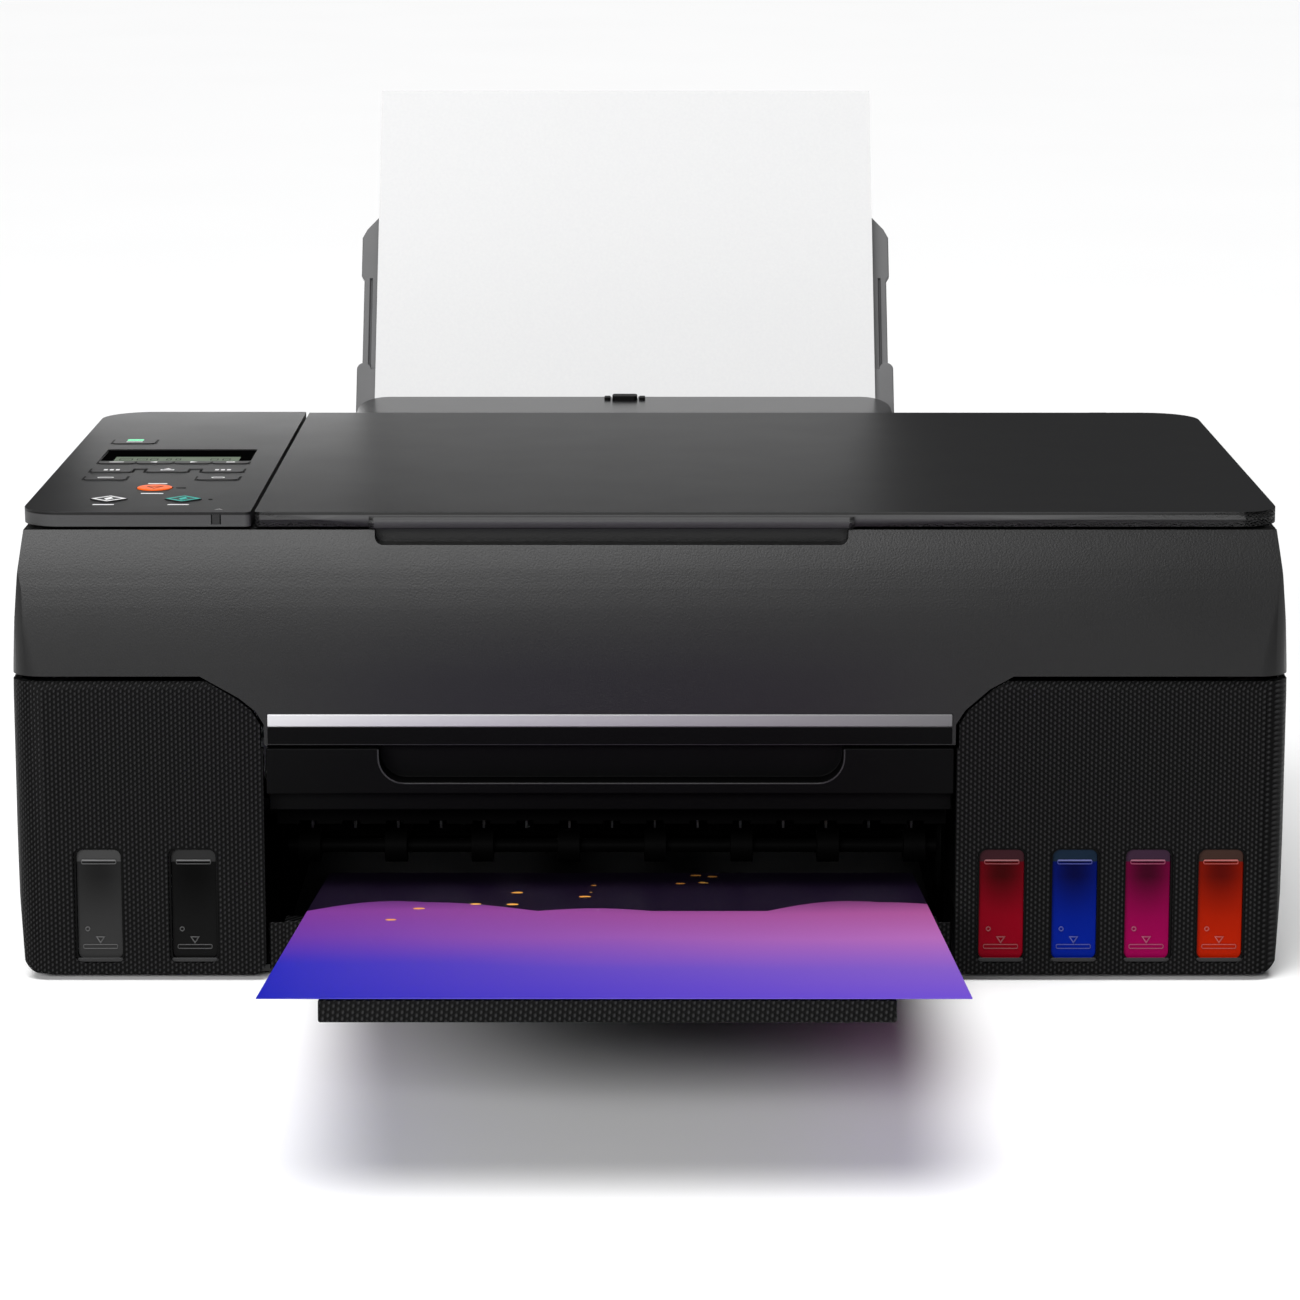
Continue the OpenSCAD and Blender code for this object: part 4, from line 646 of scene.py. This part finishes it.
def make_key_surrounds():
    """The dark notches at the ends of the keys, the stop slot, the alarm lamp and the brackets."""
    notch_w = 0.75 * MM
    notch_gap = 0.4 * MM
    for name in PLAIN_KEYS:
        low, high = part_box(name)
        y, h = (low[1] + high[1]) / 2, high[1] - low[1]
        for tag, x in (("left", low[0] - notch_gap), ("right", high[0] + notch_gap)):
            if name.startswith("menu") and tag == "right" and name != "menu_key_4":
                continue
            on_panel(f"{name}_notch_{tag}", rounded(notch_w, h, 0.15 * MM), x, y, DARK)
    x, y, _ = middle("stop_key")
    on_panel("stop_slot", rounded(3.6 * MM, 1.6 * MM, 0.5 * MM), x + 9.4 * MM, y, DARK)
    x, y, _ = middle("colour_start_key")
    on_panel("alarm_lamp", rounded(1.4 * MM, 1.8 * MM, 0.7 * MM), x + 9.6 * MM, y, DARK)
    bar = 0.7 * MM
    web = 3 * MM
    for name, other in (("left_key", "ok_key"), ("ok_key", "right_key")):
        (_, low, _), (left, high, _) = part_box(name)
        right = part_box(other)[0][0]
        w = (right - left) / 2 - 0.3 * MM
        h = (high - low) / 2
        bracket = [(-w, -h), (-w + bar, -h), (-w + bar, h - web), (w - bar, h - web),
                   (w - bar, -h), (w, -h), (w, h), (-w, h)]
        on_panel(f"bracket_{name}", bracket, (left + right) / 2, (low + high) / 2, DARK)


def make_light_guide():
    """An insert of the panel's own plastic in its front edge, set off by two dark joints, with a mark."""
    x = PANEL_LOW[0] + 67.9 * MM
    front = PANEL_LOW[1]
    y = front + 0.02 * MM
    z = (PANEL_LOW[2] + PANEL_TOP) / 2 + 0.5 * MM
    guide_h = 3.4 * MM
    for tag, dx in (("left", -1.5), ("right", 1.5)):
        on_front(f"light_guide_joint_{tag}", rounded(0.5 * MM, guide_h, 0.1 * MM), x + dx * MM, z, y,
                 0.06 * MM, "scanner_unit", DARK)
    on_front("light_guide", rounded(2.4 * MM, guide_h, 0.2 * MM), x, z, y, 0.1 * MM, "scanner_unit", KEY)
    on_panel("light_mark", triangle(1.7 * MM, 90), x + 0.5 * MM, front + 5.5 * MM, MARK_DIM,
             hole=triangle(0.9 * MM, 90))


def make_captions():
    """Short plain bars where the keys' names would be."""
    bar_h = 1.5 * MM
    corner = 0.5 * MM
    x, y, _ = middle("stop_key")
    for tag, dx, dy, w in (("stop", 0, 9.5, 7), ("start", 0.5, -13.2, 8)):
        on_panel(f"{tag}_caption", rounded(w * MM, bar_h, corner), x + dx * MM, y + dy * MM, MARK)
    for name in ("mono_start_key", "colour_start_key"):
        x, y, _ = middle(name)
        on_panel(f"{name}_caption", rounded(7.5 * MM, bar_h, corner), x - 0.5 * MM, y - 12 * MM, MARK)


# ---------------------------------------------------------------- other details

def make_apron_edge():
    """The darker lower edge of the apron, under the bright strip."""
    low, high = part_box("silver_trim")
    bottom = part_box("scanner_housing")[0][2] + 0.3 * MM
    top = low[2] - 0.3 * MM
    on_front("apron_lower_edge", rounded(high[0] - low[0], top - bottom, 0.4 * MM), (low[0] + high[0]) / 2,
             (top + bottom) / 2, FRONT_Y + 0.1 * MM, 0.2 * MM, "scanner_unit", GRIP, 0.05 * MM)


def make_cover_clip():
    """The dark clip that stands on the feed cover's rear edge, with a hook on either side."""
    low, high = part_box("feed_slot_cover")
    x = (low[0] + high[0]) / 2
    y = high[1] - 6 * MM
    z = high[2] - 1.3 * MM
    for name, dx, w, depth, corner, height, edge in (
        ("cover_clip", 0, 10.4, 8, 1.5, 2.9, 0.5),
        ("cover_hook_left", -7.2, 2.6, 6, 0.8, 2.2, 0.3),
        ("cover_hook_right", 7.2, 2.6, 6, 0.8, 2.2, 0.3),
    ):
        outline = shifted(rounded(w * MM, depth * MM, corner * MM), x + dx * MM, y)
        slab(name, outline, (0, 0, z), (1, 0, 0), (0, 1, 0), height * MM, "flap", DARK, edge * MM)


def make_hinge_caps():
    """A thin cap over each hinge eye, flush with the lid's top."""
    cap_t = 0.5 * MM
    eye_y = 81.95 * MM
    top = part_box("document_lid")[1][2]
    for tag, eye_x in (("left", -100 * MM), ("right", 180 * MM)):
        on_panel(f"hinge_cap_{tag}", rounded(6.7 * MM, 6.5 * MM, 0.2 * MM), eye_x, eye_y, SHELL_TOP,
                 body="lid", z=top - cap_t, thickness=cap_t)


def make_scoop_rim():
    """The thin raised rim round the finger scoop in the grip panel, in a lighter black as a painted highlight
    on its edge.
    """
    left, right = -94.5 * MM, 67.5 * MM
    top, bottom = 83.2 * MM, 71.3 * MM
    corner = 9 * MM
    rim_w = 0.5 * MM
    steps = 8
    rim = []
    for grow in (rim_w, 0):
        r = corner + grow
        line = [(left - grow, top)]
        for cx, start in ((left + corner, 180), (right - corner, 270)):
            for k in range(steps + 1):
                a = math.radians(start + 90 * k / steps)
                line.append((cx + r * math.cos(a), bottom + corner + r * math.sin(a)))
        line.append((right + grow, top))
        rim += line if grow else line[::-1]
    # the rim's lighter black is a painted highlight
    on_front("scoop_rim", rim, 0, 0, FRONT_Y + 0.05 * MM, 0.3 * MM, "base", PAINTED_HIGHLIGHT_RIM)


def make_rear_details():
    """Screws, vents and a blank rating plate on the rear wall; the vents and the screws' cross slots are thin
    dark sheets, painted shade for openings.
    """
    plate_x, plate_z = 118 * MM, 74 * MM
    on_back("rating_plate", rounded(64 * MM, 26 * MM, 1.5 * MM), plate_x, plate_z, 0.15 * MM, "base", PLATE,
            0.05 * MM)
    vent = rounded(2.4 * MM, 30 * MM, 1.2 * MM)
    vent_x, vent_z, vent_pitch = -190 * MM, 78 * MM, 6 * MM
    for i in range(9):
        # painted shade: each vent opening is a thin dark sheet
        on_back(f"rear_vent_{i + 1}", vent, vent_x + vent_pitch * i, vent_z, 0.04 * MM, "base", DARK)
    head = rounded(6.4 * MM, 6.4 * MM, 3.2 * MM)
    head_t = 0.5 * MM
    cross = 1.9 * MM
    arm = 0.35 * MM
    slots = [(arm, cross), (-arm, cross), (-arm, arm), (-cross, arm), (-cross, -arm), (-arm, -arm),
             (-arm, -cross), (arm, -cross), (arm, -arm), (cross, -arm), (cross, arm), (arm, arm)]
    screws = ((-196, 98), (196, 98), (-196, 20), (196, 14), (-170, 130), (160, 130))
    for i, (x, z) in enumerate(screws):
        on_back(f"rear_screw_{i + 1}", head, x * MM, z * MM, head_t, "base", STEEL, 0.2 * MM)
        # painted shade: the cross slot is a thin dark sheet on the head
        on_back(f"rear_screw_slot_{i + 1}", slots, x * MM, z * MM, head_t + 0.03 * MM, "base", DARK)


# ---------------------------------------------------------------- ink windows

def make_window(i, x):
    """A pane over a tank with raised level bars, a pointer and a catch, in a recess with a dark frame ring as
    painted shadow and a painted highlight on its sill.
    """
    w = WINDOW_W - 2 * WINDOW_RIM
    h = WINDOW_HIGH - WINDOW_LOW - 2 * WINDOW_RIM
    z = (WINDOW_LOW + WINDOW_HIGH) / 2
    y = FRONT_Y + 3.15 * MM
    pane_t = 0.7 * MM
    line_t = 0.3 * MM
    slack = 0.3 * MM
    face = y - pane_t
    bar = rounded(12.3 * MM, 1.7 * MM, 0.6 * MM)
    bar_hole = rounded(11.7 * MM, 1.1 * MM, 0.3 * MM)
    upper_z, lower_z = 42.4 * MM, 11.8 * MM
    pointer = [(-1.7 * MM, 0.8 * MM), (0, -1.9 * MM), (1.7 * MM, 0.8 * MM)]
    pointer_hole = [(-1.0 * MM, 0.4 * MM), (0, -1.15 * MM), (1.0 * MM, 0.4 * MM)]
    pointer_z = 14.7 * MM
    catch = rounded(1.8 * MM, 1.8 * MM, 0.9 * MM)
    catch_hole = rounded(1.0 * MM, 1.0 * MM, 0.5 * MM)
    catch_x, catch_z = x - 4.4 * MM, 18.2 * MM
    pane = ink_face(f"ink_{i}", INKS[i], x)
    on_front(f"ink_window_{i}", rounded(w - 0.1 * MM, h - 0.1 * MM, 2.6 * MM), x, z, y, pane_t, "base", pane,
             0.25 * MM)
    # painted shadow: a dark ring round the pane where the recess is in shade
    on_front(f"window_frame_{i}", rounded(WINDOW_W - slack, WINDOW_HIGH - WINDOW_LOW - slack, 2.85 * MM),
             x, z, FRONT_Y + 1.15 * MM, 0.15 * MM, "base", DARK, 0.05 * MM, hole=rounded(w, h, 2.7 * MM))
    # painted highlight: the sill is lighter where light falls on the recess's lower edge
    on_front(f"window_sill_{i}", rounded(w + 0.4 * MM, 1.5 * MM, 0.7 * MM), x, WINDOW_LOW + 0.95 * MM,
             FRONT_Y + 1.1 * MM, 0.4 * MM, "base", PAINTED_HIGHLIGHT_RIM, 0.3 * MM)
    bright = INKS[i][2]
    relief = plastic(f"window_relief_{i}", mixed(bright, FROST, 0.08), 0.4, specular=0.15)
    # painted highlight: a lighter copy of the marks' colour for the upper bar's top edge
    painted_highlight_lip = plastic(f"window_painted_highlight_lip_{i}", mixed(bright, FROST, 0.16), 0.35, specular=0.3)
    for tag, level in (("upper", upper_z), ("lower", lower_z)):
        on_front(f"{tag}_level_bar_{i}", bar, x, level, face, line_t, "base", relief, hole=bar_hole)
    # the lip on the upper bar carries the painted highlight
    on_front(f"upper_level_painted_highlight_lip_{i}", rounded(11.9 * MM, 0.5 * MM, 0.2 * MM), x, upper_z + 0.6 * MM,
             face - line_t, 0.12 * MM, "base", painted_highlight_lip)
    on_front(f"level_pointer_{i}", pointer, x, pointer_z, face, line_t, "base", relief, hole=pointer_hole)
    on_front(f"window_catch_{i}", catch, catch_x, catch_z, face, line_t, "base", relief, hole=catch_hole)


def make_windows():
    """Two windows on the left and four on the right, set out from the sides of the body."""
    left_first, left_pitch = 29.3 * MM, 33.2 * MM
    right_first, right_pitch = 22.4 * MM, 25.6 * MM
    left = [-SIDE_X + left_first + left_pitch * i for i in range(2)]
    right = [SIDE_X - right_first - right_pitch * i for i in range(3, -1, -1)]
    for i, x in enumerate(left + right):
        make_window(i, x)


# ---------------------------------------------------------------- stage

def make_floor():
    """A wide pale floor."""
    reach = 12
    corners = [(-reach, -reach, 0), (reach, -reach, 0), (reach, reach, 0), (-reach, reach, 0)]
    floor_mat, tree, shader = new_material("floor", (0.9, 0.9, 0.9), 0.7, specular=0.1)
    tree.links.new(spread(tree, noise(tree, place(tree), 3), 0.55, 0.65), shader.inputs["Roughness"])
    mesh = bpy.data.meshes.new("floor")
    mesh.from_pydata(corners, [], [(0, 1, 2, 3)])
    mesh.materials.append(floor_mat)
    floor = bpy.data.objects.new("floor", mesh)
    bpy.context.scene.collection.objects.link(floor)


def make_lights():
    """A faint world, a wide soft sun overhead, and two soft boxes."""
    world = bpy.data.worlds.new("studio")
    world.use_nodes = True
    bpy.context.scene.world = world
    bpy.context.scene.view_settings.view_transform = "Standard"
    background = world.node_tree.nodes["Background"]
    background.inputs["Color"].default_value = (0.95, 0.97, 1.0, 1)
    background.inputs["Strength"].default_value = 0.07

    sun = bpy.data.lights.new("overhead", "SUN")
    sun.energy = 3.55
    sun.angle = math.radians(50)
    lamp = bpy.data.objects.new("overhead", sun)
    lamp.rotation_euler = (math.radians(12), math.radians(-8), 0)
    bpy.context.scene.collection.objects.link(lamp)

    # soft boxes: name, place, where it points, width, height, watts
    for name, spot, aim, width, height, power in (
        ("front_left", (-0.6, -2.0, 0.75), (0, 0, 0.15), 1.6, 0.35, 40),
        ("back_left", (-0.17, 0.24, 0.2), (-0.12, 0.03, 0.166), 0.16, 0.05, 0.07),
    ):
        light = bpy.data.lights.new(name, "AREA")
        light.shape = "RECTANGLE"
        light.size = width
        light.size_y = height
        light.energy = power
        lamp = bpy.data.objects.new(name, light)
        lamp.location = spot
        lamp.rotation_euler = (Vector(aim) - Vector(spot)).to_track_quat("-Z", "Y").to_euler()
        bpy.context.scene.collection.objects.link(lamp)


def make_camera():
    """The camera, straight in front and looking down a little."""
    camera_data = bpy.data.cameras.new("camera")
    camera_data.lens = CAMERA_LENS
    camera_data.sensor_width = 36
    camera_data.clip_end = 50
    camera = bpy.data.objects.new("camera", camera_data)
    camera.location = (0, FRONT_Y - CAMERA_BACK, CAMERA_HEIGHT)
    camera.rotation_euler = (math.pi / 2 - CAMERA_PITCH, 0, 0)
    bpy.context.scene.collection.objects.link(camera)
    bpy.context.scene.camera = camera


dress_nodes()
make_keys()
make_display()
make_key_surrounds()
make_light_guide()
make_captions()
make_apron_edge()
make_cover_clip()
make_hinge_caps()
make_scoop_rim()
make_rear_details()
make_windows()
make_floor()
make_lights()
make_camera()
